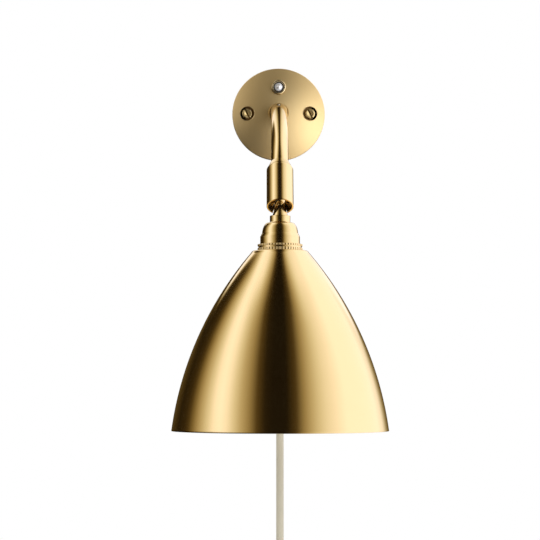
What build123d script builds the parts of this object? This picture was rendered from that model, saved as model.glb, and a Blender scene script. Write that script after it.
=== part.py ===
from build123d import *
import math
import os

os.makedirs("parts", exist_ok=True)

# Hanging wall lamp in brass: a domed wall plate, a curved tube arm, a slotted sleeve with a ball
# joint, and a bell shade that hangs plumb from the ball. A textile cord runs down the wall.
# Millimetres. The origin is the centre of the plate's back, on the wall. +Z is up and -Y points
# into the room, so "height" below means the distance off the wall.

# ------------------------------------------------------------------ driving sizes
# Fits
running_clearance = 0.05
loose_clearance = 0.3

# Wall plate
plate_diameter = 75.0
plate_edge_height = 4.0
plate_depth = 12.0
plate_wall = 2.0
plate_edge_round = 1.0
arm_hole_diameter = 15.0
arm_hole_chamfer_width = 1.6
arm_hole_chamfer_depth = 1.0

# Fixing screws, on the spacing of a round conduit box
fixing_spacing = 50.8
screw_diameter = 4.0
screw_length = 25.0
screw_shank_diameter = 3.4
screw_thread_setback = 0.3
screw_head_diameter = 8.0
screw_head_height = 2.4
screw_slot_width = 1.3
screw_slot_depth = 1.1
screw_slot_angle = -63.0
recess_diameter = 11.6
recess_seat_height = 5.8
recess_chamfer = 0.45
spacer_diameter = 9.0

# Mounting strap
strap_thickness = 1.5
strap_length = 64.0
strap_width = 18.0
strap_tab_drop = 24.0

# Push switch
switch_height = 21.0
switch_seat_height = 8.9
bezel_diameter = 11.6
bezel_thickness = 3.0
bushing_diameter = 8.6
bushing_setback = 1.2
button_diameter = 6.2
button_proud = 2.8
switch_body_width = 12.6
switch_body_height = 11.0
switch_body_depth = 4.4
switch_body_wall = 1.0
spring_wire = 0.5
spring_turns = 4

# Arm
arm_diameter = 13.0
arm_wall = 1.2
arm_straight = 13.0
arm_bend_radius = 106.0
arm_bend_angle = 60.0
arm_insert = 8.0
socket_diameter = 21.0
socket_height = 8.5
socket_slot_width = 5.0
grub_diameter = 4.0

# Sleeve and ball joint, measured along the sleeve from its upper end
sleeve_diameter = 20.0
sleeve_bore = 17.6
sleeve_length = 40.0
sleeve_shoulder = 7.0
sleeve_lip_chamfer = 0.25
ball_depth = 30.2
ball_diameter = 14.0
slot_width = 12.0
slot_centre_below_ball = 7.8
cup_height = 6.3
cup_below_ball = -2.2
retainer_below_ball = 2.0
retainer_height = 4.3
joint_spring_wire = 1.3
joint_spring_turns = 4

# Ball stem, measured downwards from the ball's centre
stem_bore = 4.8
stem_neck_diameter = 7.2
stem_cone_top = 7.0
stem_cone_bottom = 14.8
stem_cone_diameter = 11.2
stem_shank_diameter = 10.0
stem_shank_length = 11.7
saw_cut_width = 1.3
saw_cut_angle = 36.5
saw_cut_length = 13.0
saw_cut_offset = -2.2
saw_cut_drop = 10.6

# Lampholder cap
cap_neck_diameter = 15.2
cap_neck_height = 5.0
cap_dome_diameter = 26.8
cap_dome_height = 8.1
cap_step_height = 2.6
cap_diameter = 29.4
cap_height = 21.2
cap_wall = 1.0
nut_thickness = 3.4
nut_diameter = 14.6

# Knurled ring pair above the shade, and the clamping ring inside it
ring_diameter = 33.3
ring_height = 5.0
ring_groove_diameter = 32.0
ring_groove_top = 1.6
ring_groove_height = 1.1
ring_teeth = 48
ring_tooth_depth = 0.45
lower_ring_diameter = 36.0
lower_ring_height = 3.5
lower_ring_notches = 12

# Shade
shade_diameter = 160.0
shade_height = 132.7
shade_wall = 1.0
shade_top_diameter = 42.8
shade_top_drop = 1.3
shade_curve_radius = 253.0

# Lampholder below the cap
holder_diameter = 27.8
holder_wall = 1.0
holder_overlap = 5.0
holder_length = 35.0
insert_bore = 15.6
insert_floor = 2.0
insert_socket_length = 23.0
shell_wall = 0.6
contact_diameter = 5.0
contact_height = 1.4
terminal_length = 5.0
terminal_width = 5.0
terminal_height = 3.0
terminal_spacing = 15.0

# Bulb
bulb_tip_height = 1.0
bulb_base_diameter = 13.6
bulb_base_height = 19.0
bulb_neck_diameter = 12.8
bulb_neck_height = 8.0
bulb_diameter = 45.0
bulb_glass_height = 57.0
bulb_glass_wall = 0.8

# Terminal block and leads
block_width = 18.0
block_depth = 8.0
block_height = 4.5
block_top = -14.5
block_screw_diameter = 3.0
block_screw_pitch = 8.0
lead_diameter = 1.8
lead_offset = 1.2
lead_bend_radius = 3.5
head_lead_offset = 1.05

# Cord, with its coil below and its plug
cord_diameter = 6.0
cord_x = 1.0
cord_height = 3.6
bush_wall = 1.2
bush_reach_in = 10.5
bush_reach_out = 2.0
coil_pitch = 7.5
coil_layer_pitch = 8.0
coil_inner_radius = 24.5
coil_half_turns_in = 7
coil_half_turns_out = 6
coil_centre_z = -398.5
coil_tail_length = 24.0
tie_width = 8.0
tie_thickness = 0.5
relief_length = 28.0
relief_diameter = 11.0
plug_width = 35.3
plug_thickness = 13.7
plug_length = 36.0
plug_shoulder_length = 16.0
plug_neck_width = 15.0
plug_round = 2.5
pin_diameter = 4.0
pin_length = 19.0
pin_spacing = 18.6

# ------------------------------------------------------------------ derived places
plate_radius = plate_diameter / 2
dome_rise = plate_depth - plate_edge_height
dome_radius = (plate_radius**2 + dome_rise**2) / (2 * dome_rise)
bush_inner_end = bush_reach_in - plate_radius
bush_outer_end = -bush_reach_out - plate_radius

arm_radius = arm_diameter / 2
arm_angle = math.radians(arm_bend_angle)
arm_end = Vector(
    0,
    -arm_straight - arm_bend_radius * math.sin(arm_angle),
    -arm_bend_radius * (1 - math.cos(arm_angle)),
)
sleeve_direction = Vector(0, -math.cos(arm_angle), -math.sin(arm_angle))
sleeve_wallward = Vector(0, math.sin(arm_angle), -math.cos(arm_angle))
sleeve_axis = Axis(arm_end, sleeve_direction)
# In this plane X runs across the lamp and Y runs down the sleeve.
sleeve_section = Plane(origin=arm_end, x_dir=(1, 0, 0), z_dir=sleeve_wallward)

ball_centre = arm_end + sleeve_direction * ball_depth
ball_radius = ball_diameter / 2
seat_radius = ball_radius + running_clearance
head_axis = Axis(ball_centre, (0, 0, 1))
# In this plane X runs across the lamp and Y runs up from the ball's centre.
head_section = Plane(origin=ball_centre, x_dir=(1, 0, 0), z_dir=(0, -1, 0))

cap_top = stem_cone_bottom + running_clearance
cap_bottom = cap_top + cap_height
shade_top = cap_bottom + ring_height
shade_rim = shade_top + shade_height
holder_top = cap_bottom - holder_overlap
holder_bottom = holder_top + holder_length
holder_radius = holder_diameter / 2
insert_radius = holder_radius - holder_wall
insert_top = holder_top
socket_top = insert_top + 2 * insert_floor + contact_height
contact_bottom = socket_top + contact_height
bulb_base_top = contact_bottom + bulb_tip_height
bulb_glass_top = bulb_base_top + bulb_base_height
bulb_centre = bulb_glass_top + bulb_glass_height - bulb_diameter / 2

coil_outer_radius = coil_inner_radius + coil_half_turns_in * coil_pitch / 2
coil_centre_x = cord_x - coil_outer_radius
tail_x = coil_centre_x + coil_inner_radius + coil_half_turns_out * coil_pitch / 2
tail_height = cord_height + coil_layer_pitch
cord_radius = cord_diameter / 2
coil_end_straight = cord_diameter
relief_top = coil_centre_z - coil_end_straight - coil_tail_length
plug_top = relief_top - relief_length
plug_bottom = plug_top - plug_length


def dome_height(radius, inset=0.0):
    """Distance off the wall of the plate's dome, or of the parallel face inset into it."""
    return plate_depth - dome_radius + math.sqrt((dome_radius - inset) ** 2 - radius**2)


def head_level(drop):
    """Horizontal plane on the head's axis, at a drop below the ball's centre."""
    return Plane(origin=ball_centre - Vector(0, 0, drop), z_dir=(0, 0, 1))


def sphere_radius_at(offset):
    """Radius of the ball's seat at a distance from the ball's centre along the sleeve."""
    return math.sqrt(seat_radius**2 - offset**2)


def half_turn(start, end, side):
    """Semicircle from start to end, bulging up (side 1) or down (side -1)."""
    middle = (start + end) / 2 + Vector(0, 0, side * (end - start).length / 2)
    return ThreePointArc(start, middle, end)


# ------------------------------------------------------------------ wall plate
inner_plate_radius = plate_radius - plate_wall
boss_radius = recess_diameter / 2 + plate_wall
switch_boss_radius = bezel_diameter / 2 + plate_wall

# The hollow behind the plate, less the bosses that carry the screw recesses and the switch.
with BuildPart() as plate_hollow:
    with BuildSketch(Plane.XY) as hollow_profile:
        with BuildLine() as hollow_outline:
            inner_edge = (inner_plate_radius, -dome_height(inner_plate_radius, plate_wall))
            inner_middle = (inner_plate_radius / 2, -dome_height(inner_plate_radius / 2, plate_wall))
            inner_top = (0, -dome_height(0, plate_wall))
            Polyline(inner_top, (0, 0), (inner_plate_radius, 0), inner_edge)
            ThreePointArc(inner_edge, inner_middle, inner_top)
        make_face()
    revolve(axis=Axis.Y)
    with BuildSketch(Plane.XZ.offset(recess_seat_height - plate_wall)) as recess_bosses:
        with GridLocations(fixing_spacing, 1, 2, 1):
            Circle(boss_radius)
    extrude(amount=plate_depth, mode=Mode.SUBTRACT)
    with BuildSketch(Plane.XZ.offset(strap_thickness)) as screw_spacers:
        with GridLocations(fixing_spacing, 1, 2, 1):
            Circle(spacer_diameter / 2)
    extrude(amount=plate_depth, mode=Mode.SUBTRACT)
    with BuildSketch(Plane.XZ.offset(switch_seat_height - plate_wall)) as switch_boss:
        with Locations((0, switch_height)):
            Circle(switch_boss_radius)
    extrude(amount=plate_depth, mode=Mode.SUBTRACT)

with BuildPart() as wall_plate:
    with BuildSketch(Plane.XY) as plate_profile:
        with BuildLine() as plate_outline:
            Polyline((0, -plate_depth), (0, 0), (plate_radius, 0), (plate_radius, -plate_edge_height))
            ThreePointArc(
                (plate_radius, -plate_edge_height),
                (plate_radius / 2, -dome_height(plate_radius / 2)),
                (0, -plate_depth),
            )
        make_face()
        plate_corner = plate_profile.vertices().group_by(Axis.X)[-1].sort_by(Axis.Y)[0]
        fillet(plate_corner, plate_edge_round)
    revolve(axis=Axis.Y)
    add(plate_hollow.part, mode=Mode.SUBTRACT)
    # Arm hole with its chamfer
    with BuildSketch(Plane.XY) as arm_hole_profile:
        with BuildLine() as arm_hole_outline:
            arm_hole_radius = arm_hole_diameter / 2
            chamfer_radius = arm_hole_radius + arm_hole_chamfer_width
            chamfer_height = dome_height(chamfer_radius)
            Polyline(
                (0, 0),
                (arm_hole_radius, 0),
                (arm_hole_radius, -chamfer_height + arm_hole_chamfer_depth),
                (chamfer_radius, -chamfer_height),
                (chamfer_radius, -2 * plate_depth),
                (0, -2 * plate_depth),
                close=True,
            )
        make_face()
    revolve(axis=Axis.Y, mode=Mode.SUBTRACT)
    # Screw recesses
    with BuildSketch(Plane.XZ.offset(recess_seat_height)) as recesses:
        with GridLocations(fixing_spacing, 1, 2, 1):
            Circle(recess_diameter / 2)
    extrude(amount=plate_depth, mode=Mode.SUBTRACT)
    recess_rims = wall_plate.edges(Select.LAST).filter_by(
        lambda edge: edge.geom_type not in (GeomType.CIRCLE, GeomType.LINE)
    )
    chamfer(recess_rims, recess_chamfer)
    with BuildSketch(Plane.XZ) as screw_holes:
        with GridLocations(fixing_spacing, 1, 2, 1):
            Circle(screw_diameter / 2 + loose_clearance / 2)
    extrude(amount=plate_depth, mode=Mode.SUBTRACT)
    # Flat seat and hole for the switch
    with BuildSketch(Plane.XZ.offset(switch_seat_height)) as switch_seat:
        with Locations((0, switch_height)):
            Circle(bezel_diameter / 2 + loose_clearance)
    extrude(amount=plate_depth, mode=Mode.SUBTRACT)
    with BuildSketch(Plane.XZ) as switch_hole:
        with Locations((0, switch_height)):
            Circle(bushing_diameter / 2)
    extrude(amount=plate_depth, mode=Mode.SUBTRACT)
    # Notch for the cord's bush, arched like the bush itself
    with BuildSketch(Plane.XY.offset(-plate_diameter)) as notch_profile:
        with Locations((cord_x, -cord_height)):
            Circle(cord_radius + bush_wall)
        with Locations((cord_x, -cord_height / 2)):
            Rectangle(cord_diameter + 2 * bush_wall, cord_height)
    extrude(amount=plate_diameter + bush_inner_end, mode=Mode.SUBTRACT)

# Two slotted pan-head screws: a plain shank through the strap, then the thread in the wall box
with BuildPart() as fixing_screws:
    with BuildSketch(Plane.XZ.offset(recess_seat_height)) as screw_heads:
        with GridLocations(fixing_spacing, 1, 2, 1):
            Circle(screw_head_diameter / 2)
    extrude(amount=screw_head_height)
    fillet(fixing_screws.faces().group_by(Axis.Y)[0].edges(), screw_head_height / 3)
    with BuildSketch(Plane.XZ.offset(recess_seat_height)) as screw_shanks:
        with GridLocations(fixing_spacing, 1, 2, 1):
            Circle(screw_shank_diameter / 2)
    extrude(amount=-recess_seat_height - screw_thread_setback)
    with BuildSketch(Plane.XZ.offset(-screw_thread_setback)) as screw_threads:
        with GridLocations(fixing_spacing, 1, 2, 1):
            Circle(screw_diameter / 2)
    extrude(amount=recess_seat_height + screw_thread_setback - screw_length)
    with BuildSketch(Plane.XZ.offset(recess_seat_height + screw_head_height)) as screw_slots:
        with GridLocations(fixing_spacing, 1, 2, 1):
            Rectangle(1.1 * screw_head_diameter, screw_slot_width, rotation=screw_slot_angle)
    extrude(amount=-screw_slot_depth, mode=Mode.SUBTRACT)

# ------------------------------------------------------------------ behind the plate
with BuildPart() as mounting_strap:
    with BuildSketch(Plane.XZ) as strap_profile:
        Rectangle(strap_length, strap_width)
        with Locations((0, -strap_tab_drop / 2)):
            Rectangle(block_width, strap_tab_drop)
        with GridLocations(fixing_spacing, 1, 2, 1):
            Circle(screw_diameter / 2 + loose_clearance / 2, mode=Mode.SUBTRACT)
        fillet(strap_profile.vertices().group_by(Axis.X)[0], strap_thickness)
        fillet(strap_profile.vertices().group_by(Axis.X)[-1], strap_thickness)
    extrude(amount=strap_thickness)

with BuildPart() as arm_socket:
    with BuildSketch(Plane.XZ.offset(strap_thickness)) as socket_profile:
        Circle(socket_diameter / 2)
        Circle(arm_radius, mode=Mode.SUBTRACT)
        with Locations((0, -socket_diameter / 2)):
            Rectangle(socket_slot_width, socket_diameter, mode=Mode.SUBTRACT)
    extrude(amount=socket_height - strap_thickness)
    with BuildSketch(Plane.XY) as grub_hole:
        with Locations((0, -(socket_height + strap_thickness) / 2)):
            Circle(grub_diameter / 2)
    extrude(amount=socket_diameter, mode=Mode.SUBTRACT)

with BuildPart() as arm_grub_screw:
    with BuildSketch(Plane.XY.offset(arm_radius)) as grub_profile:
        with Locations((0, -(socket_height + strap_thickness) / 2)):
            Circle(grub_diameter / 2)
            RegularPolygon(grub_diameter / 4, 6, mode=Mode.SUBTRACT)
    extrude(amount=socket_diameter / 2 - arm_radius)

with BuildPart() as terminal_block:
    with BuildSketch(Plane.XZ.offset(strap_thickness)) as block_profile:
        with Locations((0, block_top - block_depth / 2)):
            Rectangle(block_width, block_depth)
    extrude(amount=block_height)
    with BuildSketch(Plane.XZ.offset(strap_thickness + block_height)) as block_screw_holes:
        with Locations((0, block_top - block_depth / 2)):
            with GridLocations(block_screw_pitch, 1, 2, 1):
                Circle(block_screw_diameter / 2)
    extrude(amount=-block_height / 2, mode=Mode.SUBTRACT)

with BuildPart() as terminal_screws:
    with BuildSketch(Plane.XZ.offset(strap_thickness + block_height / 2)) as terminal_screw_profile:
        with Locations((0, block_top - block_depth / 2)):
            with GridLocations(block_screw_pitch, 1, 2, 1):
                Circle(block_screw_diameter / 2)
                Rectangle(block_screw_diameter, screw_slot_width / 2, mode=Mode.SUBTRACT)
    extrude(amount=block_height / 4)

# ------------------------------------------------------------------ push switch
bezel_front = switch_seat_height + bezel_thickness
bushing_front = bezel_front - bushing_setback
switch_body_top = dome_height(switch_height + switch_body_height / 2, plate_wall) - loose_clearance
switch_body_back = switch_body_top - switch_body_depth
switch_cavity_back = switch_body_back + switch_body_wall
button_bottom = switch_body_top + loose_clearance
switch_bore = button_diameter + loose_clearance

with BuildPart() as switch_body:
    with BuildSketch(Plane.XZ.offset(switch_body_back)) as switch_case:
        with Locations((0, switch_height)):
            Rectangle(switch_body_width, switch_body_height)
    extrude(amount=switch_body_depth)
    with BuildSketch(Plane.XZ.offset(switch_body_top)) as switch_bushing:
        with Locations((0, switch_height)):
            Circle(bushing_diameter / 2)
    extrude(amount=bushing_front - switch_body_top)
    with BuildSketch(Plane.XZ.offset(switch_cavity_back)) as switch_cavity:
        with Locations((0, switch_height)):
            Circle(switch_bore / 2)
    extrude(amount=plate_depth, mode=Mode.SUBTRACT)

with BuildPart() as switch_bezel:
    with BuildSketch(Plane.XZ.offset(switch_seat_height)) as bezel_profile:
        with Locations((0, switch_height)):
            Circle(bezel_diameter / 2)
            Circle(bushing_diameter / 2, mode=Mode.SUBTRACT)
    extrude(amount=bezel_thickness)
    fillet(switch_bezel.edges().group_by(Axis.Y)[0].sort_by(SortBy.LENGTH)[-1], bezel_thickness / 4)

button_radius = button_diameter / 2
button_dome_start = bezel_front + button_proud - button_radius / 2
with BuildPart() as switch_button:
    with BuildSketch(Plane.XY.offset(switch_height)) as button_profile:
        with BuildLine() as button_outline:
            button_front = (0, -(bezel_front + button_proud))
            button_side = (button_radius, -button_dome_start)
            Polyline(button_front, (0, -button_bottom), (button_radius, -button_bottom), button_side)
            RadiusArc(button_side, button_front, button_radius * 1.25)
        make_face()
    revolve(axis=Axis((0, 0, switch_height), (0, 1, 0)))

# The switch's return spring, as half turns that each climb half a pitch
spring_radius = button_radius - spring_wire
spring_pitch = (button_bottom - switch_cavity_back - 2 * spring_wire) / spring_turns
with BuildPart() as switch_spring:
    with BuildLine() as switch_spring_path:
        for turn in range(2 * spring_turns):
            flip = 1 if turn % 2 == 0 else -1
            coil_back = switch_cavity_back + spring_wire + turn * spring_pitch / 2
            coil_start = Vector(flip * spring_radius, -coil_back, switch_height)
            coil_end = Vector(-flip * spring_radius, -coil_back - spring_pitch / 2, switch_height)
            half_turn(coil_start, coil_end, flip)
    spring_foot = Vector(spring_radius, -(switch_cavity_back + spring_wire), switch_height)
    with BuildSketch(Plane(origin=spring_foot, z_dir=(0, 0, 1))) as switch_spring_section:
        Circle(spring_wire / 2)
    sweep()

# Two leads from the switch down past the socket to the terminal block
switch_lead_x = (socket_diameter + lead_diameter) / 2 + loose_clearance
switch_lead_height = switch_body_back + switch_body_wall + lead_diameter / 2
with BuildPart() as switch_leads:
    for side in (-1, 1):
        with BuildLine() as switch_lead_path:
            FilletPolyline(
                (side * switch_body_width / 2, -switch_lead_height, switch_height),
                (side * switch_lead_x, -switch_lead_height, switch_height),
                (side * switch_lead_x, -switch_lead_height, block_top - block_depth / 2),
                (side * block_width / 2, -switch_lead_height, block_top - block_depth / 2),
                radius=lead_diameter / 2 + loose_clearance,
            )
        lead_start = Vector(side * switch_body_width / 2, -switch_lead_height, switch_height)
        with BuildSketch(Plane(origin=lead_start, z_dir=(side, 0, 0))) as switch_lead_section:
            Circle(lead_diameter / 2)
        sweep()

# ------------------------------------------------------------------ arm


def arm_point(angle):
    """Point of the arm's bend, in the (Y, Z) of the lamp's middle plane."""
    reach = arm_straight + arm_bend_radius * math.sin(angle)
    return (-reach, -arm_bend_radius * (1 - math.cos(angle)))


def down_sleeve(distance):
    """Point on the sleeve's axis, in the (Y, Z) of the lamp's middle plane."""
    point = arm_end + sleeve_direction * distance
    return (point.Y, point.Z)


with BuildPart() as arm_tube:
    with BuildLine(Plane.YZ) as arm_path:
        Line((-strap_thickness, 0), (-arm_straight, 0))
        ThreePointArc(arm_point(0), arm_point(arm_angle / 2), arm_point(arm_angle))
        Line(arm_point(arm_angle), down_sleeve(arm_insert))
    with BuildSketch(Plane.XZ.offset(strap_thickness)) as arm_section:
        Circle(arm_radius)
        Circle(arm_radius - arm_wall, mode=Mode.SUBTRACT)
    sweep()
    # Slot under the tube's end, where the leads come in
    with BuildSketch(Plane.XZ.offset(strap_thickness)) as arm_slot:
        with Locations((0, -arm_radius)):
            Rectangle(socket_slot_width, arm_diameter)
    extrude(amount=socket_height - strap_thickness, mode=Mode.SUBTRACT)

# The two cores run from the terminal block up into the arm and along it to the ball joint.
arm_lead_height = strap_thickness + block_height / 2
arm_leads_end = ball_depth - ball_radius - lead_diameter
with BuildPart() as arm_leads:
    for side in (-1, 1):
        with BuildLine(Plane.YZ.offset(side * lead_offset)) as arm_lead_path:
            bend_end = (-arm_lead_height - lead_bend_radius, 0)
            bend_middle = (
                -arm_lead_height - lead_bend_radius * (1 - math.sqrt(0.5)),
                -lead_bend_radius * (1 - math.sqrt(0.5)),
            )
            Line((-arm_lead_height, block_top), (-arm_lead_height, -lead_bend_radius))
            ThreePointArc((-arm_lead_height, -lead_bend_radius), bend_middle, bend_end)
            Line(bend_end, (-arm_straight, 0))
            ThreePointArc(arm_point(0), arm_point(arm_angle / 2), arm_point(arm_angle))
            Line(arm_point(arm_angle), down_sleeve(arm_leads_end))
        lead_start = Vector(side * lead_offset, -arm_lead_height, block_top)
        with BuildSketch(Plane(origin=lead_start, z_dir=(0, 0, 1))) as arm_lead_section:
            Circle(lead_diameter / 2)
        sweep()

# ------------------------------------------------------------------ sleeve and ball joint
sleeve_radius = sleeve_diameter / 2
bore_radius = sleeve_bore / 2
sleeve_wall = sleeve_radius - bore_radius
shoulder_start = arm_radius + sleeve_wall / 2

with BuildPart() as joint_sleeve:
    with BuildSketch(sleeve_section) as sleeve_profile:
        with BuildLine() as sleeve_outline:
            shoulder_break = (sleeve_radius - sleeve_wall, sleeve_shoulder * 0.6)
            shoulder_middle = (sleeve_radius - sleeve_wall * 0.3, sleeve_shoulder * 0.76)
            Line((arm_radius, 0), (shoulder_start, 0))
            Line((shoulder_start, 0), shoulder_break)
            ThreePointArc(shoulder_break, shoulder_middle, (sleeve_radius, sleeve_shoulder))
            Polyline(
                (sleeve_radius, sleeve_shoulder),
                (sleeve_radius, sleeve_length - sleeve_lip_chamfer),
                (sleeve_radius - sleeve_lip_chamfer, sleeve_length),
                (bore_radius, sleeve_length),
                (bore_radius, arm_insert + sleeve_wall),
                (arm_radius, arm_insert + sleeve_wall),
                (arm_radius, 0),
            )
        make_face()
    revolve(axis=sleeve_axis)
    # Slot towards the wall, which lets the stem hang plumb
    with BuildSketch(sleeve_section) as sleeve_slot:
        with Locations((0, ball_depth + slot_centre_below_ball)):
            Circle(slot_width / 2)
        with Locations((0, ball_depth + slot_centre_below_ball + sleeve_length / 2)):
            Rectangle(slot_width, sleeve_length)
    extrude(amount=sleeve_diameter, mode=Mode.SUBTRACT)

cup_top = ball_depth + cup_below_ball - cup_height
with BuildPart() as ball_cup:
    with BuildSketch(sleeve_section) as cup_profile:
        with BuildLine() as cup_outline:
            cup_hole = ball_radius / 2
            hole_offset = -math.sqrt(seat_radius**2 - cup_hole**2)
            middle_offset = (hole_offset + cup_below_ball) / 2
            Polyline(
                (cup_hole, ball_depth + hole_offset),
                (cup_hole, cup_top),
                (bore_radius, cup_top),
                (bore_radius, ball_depth + cup_below_ball),
                (sphere_radius_at(cup_below_ball), ball_depth + cup_below_ball),
            )
            ThreePointArc(
                (sphere_radius_at(cup_below_ball), ball_depth + cup_below_ball),
                (sphere_radius_at(middle_offset), ball_depth + middle_offset),
                (cup_hole, ball_depth + hole_offset),
            )
        make_face()
    revolve(axis=sleeve_axis)

retainer_end = ball_depth + retainer_below_ball + retainer_height
retainer_waist = retainer_below_ball + retainer_height / 3
with BuildPart() as ball_retainer:
    with BuildSketch(sleeve_section) as retainer_profile:
        with BuildLine() as retainer_outline:
            waist_middle = (retainer_below_ball + retainer_waist) / 2
            Polyline(
                (sphere_radius_at(retainer_waist), ball_depth + retainer_waist),
                (ball_radius, retainer_end),
                (bore_radius, retainer_end),
                (bore_radius, ball_depth + retainer_below_ball),
                (sphere_radius_at(retainer_below_ball), ball_depth + retainer_below_ball),
            )
            ThreePointArc(
                (sphere_radius_at(retainer_below_ball), ball_depth + retainer_below_ball),
                (sphere_radius_at(waist_middle), ball_depth + waist_middle),
                (sphere_radius_at(retainer_waist), ball_depth + retainer_waist),
            )
        make_face()
    revolve(axis=sleeve_axis)
    with BuildSketch(sleeve_section) as retainer_slot:
        with Locations((0, ball_depth + slot_centre_below_ball)):
            Circle(slot_width / 2)
        with Locations((0, ball_depth + slot_centre_below_ball + sleeve_length / 2)):
            Rectangle(slot_width, sleeve_length)
    extrude(amount=sleeve_diameter, mode=Mode.SUBTRACT)

# The joint's spring sits between the sleeve's inner step and the cup.
joint_spring_radius = bore_radius - joint_spring_wire / 2 - loose_clearance
joint_spring_top = arm_insert + sleeve_wall + joint_spring_wire / 2
joint_spring_pitch = (cup_top - joint_spring_top - joint_spring_wire / 2) / joint_spring_turns
with BuildPart() as ball_spring:
    with BuildLine() as ball_spring_path:
        for turn in range(2 * joint_spring_turns):
            flip = 1 if turn % 2 == 0 else -1
            near = joint_spring_top + turn * joint_spring_pitch / 2
            far = near + joint_spring_pitch / 2
            turn_start = arm_end + sleeve_direction * near + Vector(flip * joint_spring_radius, 0, 0)
            turn_end = arm_end + sleeve_direction * far - Vector(flip * joint_spring_radius, 0, 0)
            bulge = sleeve_wallward * (flip * (turn_end - turn_start).length / 2)
            ThreePointArc(turn_start, (turn_start + turn_end) / 2 + bulge, turn_end)
    spring_start = arm_end + sleeve_direction * joint_spring_top + Vector(joint_spring_radius, 0, 0)
    with BuildSketch(Plane(origin=spring_start, z_dir=sleeve_wallward)) as ball_spring_section:
        Circle(joint_spring_wire / 2)
    sweep()

# ------------------------------------------------------------------ ball and stem
stem_neck_radius = stem_neck_diameter / 2
stem_bore_radius = stem_bore / 2
shank_radius = stem_shank_diameter / 2
shank_bottom = stem_cone_bottom + stem_shank_length
with BuildPart() as ball_stem:
    with BuildSketch(head_section) as stem_profile:
        with BuildLine() as stem_outline:
            ball_top = (stem_bore_radius, math.sqrt(ball_radius**2 - stem_bore_radius**2))
            ball_neck = (stem_neck_radius, -math.sqrt(ball_radius**2 - stem_neck_radius**2))
            ThreePointArc(ball_top, (ball_radius, 0), ball_neck)
            Polyline(
                ball_neck,
                (stem_neck_radius, -stem_cone_top),
                (stem_cone_diameter / 2, -stem_cone_bottom),
                (shank_radius, -stem_cone_bottom),
                (shank_radius, -shank_bottom),
                (stem_bore_radius, -shank_bottom),
                ball_top,
            )
        make_face()
    revolve(axis=head_axis)
    # Slanting saw cut through the front of the cone
    with BuildSketch(head_section) as saw_cut:
        with Locations((saw_cut_offset, -saw_cut_drop)):
            Rectangle(saw_cut_width, saw_cut_length, rotation=-saw_cut_angle)
        with Locations((0, -(stem_cone_top + stem_cone_bottom) / 2)):
            Rectangle(ball_diameter, stem_cone_bottom - stem_cone_top, mode=Mode.INTERSECT)
    extrude(amount=ball_radius, mode=Mode.SUBTRACT)

nut_top = cap_top + cap_neck_height + cap_wall + 2 * running_clearance
with BuildPart() as stem_nut:
    with BuildSketch(head_level(nut_top + nut_thickness)) as nut_profile:
        RegularPolygon(nut_diameter / 2, 6)
        Circle(shank_radius, mode=Mode.SUBTRACT)
    extrude(amount=nut_thickness)

# ------------------------------------------------------------------ lampholder cap
cap_radius = cap_diameter / 2
cap_dome_radius = cap_dome_diameter / 2
cap_neck_radius = cap_neck_diameter / 2
neck_bottom = cap_top + cap_neck_height
dome_bottom = neck_bottom + cap_dome_height
step_bottom = dome_bottom + cap_step_height
cap_bore_radius = shank_radius + running_clearance
roof_radius = nut_diameter / 2 + loose_clearance
with BuildPart() as holder_cap:
    with BuildSketch(head_section) as cap_profile:
        with BuildLine() as cap_outline:
            dome_middle = (
                cap_neck_radius + (cap_dome_radius - cap_neck_radius) * 0.76,
                -neck_bottom - cap_dome_height * 0.42,
            )
            roof_bottom = neck_bottom + cap_wall
            Polyline(
                (cap_bore_radius, -roof_bottom),
                (cap_bore_radius, -cap_top),
                (cap_neck_radius, -cap_top),
                (cap_neck_radius, -neck_bottom),
            )
            ThreePointArc((cap_neck_radius, -neck_bottom), dome_middle, (cap_dome_radius, -dome_bottom))
            Polyline(
                (cap_dome_radius, -dome_bottom),
                (cap_radius, -step_bottom),
                (cap_radius, -cap_bottom),
                (holder_radius, -cap_bottom),
                (holder_radius, -holder_top),
                (cap_dome_radius - cap_wall, -holder_top),
                (cap_dome_radius - cap_wall, -dome_bottom + cap_wall),
                (roof_radius, -roof_bottom),
                (cap_bore_radius, -roof_bottom),
            )
        make_face()
    revolve(axis=head_axis)

# ------------------------------------------------------------------ shade and its rings
ring_radius = ring_diameter / 2
groove_top = cap_bottom + ring_groove_top
groove_bottom = groove_top + ring_groove_height
with BuildPart() as shade_ring_upper:
    with BuildSketch(head_level(shade_top)) as ring_profile:
        Circle(ring_radius)
        with PolarLocations(ring_radius, ring_teeth):
            RegularPolygon(ring_tooth_depth, 4, mode=Mode.SUBTRACT)
        Circle(holder_radius, mode=Mode.SUBTRACT)
    extrude(amount=ring_height)
    with BuildSketch(head_level(groove_bottom)) as groove_profile:
        Circle(ring_radius + ring_tooth_depth)
        Circle(ring_groove_diameter / 2, mode=Mode.SUBTRACT)
    extrude(amount=ring_groove_height, mode=Mode.SUBTRACT)

with BuildPart() as shade_ring_lower:
    with BuildSketch(head_level(shade_top + shade_wall + lower_ring_height)) as lower_ring_profile:
        Circle(lower_ring_diameter / 2)
        with PolarLocations(lower_ring_diameter / 2, lower_ring_notches):
            Circle(loose_clearance * 3, mode=Mode.SUBTRACT)
        Circle(holder_radius, mode=Mode.SUBTRACT)
    extrude(amount=lower_ring_height)

shade_radius = shade_diameter / 2
shade_top_radius = shade_top_diameter / 2
shade_hole_radius = holder_radius + loose_clearance
with BuildPart() as shade:
    with BuildSketch(head_section) as shade_profile:
        with BuildLine() as shade_outline:
            shade_corner = (shade_top_radius, -shade_top - shade_top_drop)
            Polyline((shade_hole_radius, -shade_top), (shade_top_radius - shade_top_drop, -shade_top), shade_corner)
            RadiusArc(shade_corner, (shade_radius, -shade_rim), shade_curve_radius)
            offset(amount=shade_wall, side=Side.RIGHT)
        make_face()
    revolve(axis=head_axis)

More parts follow.
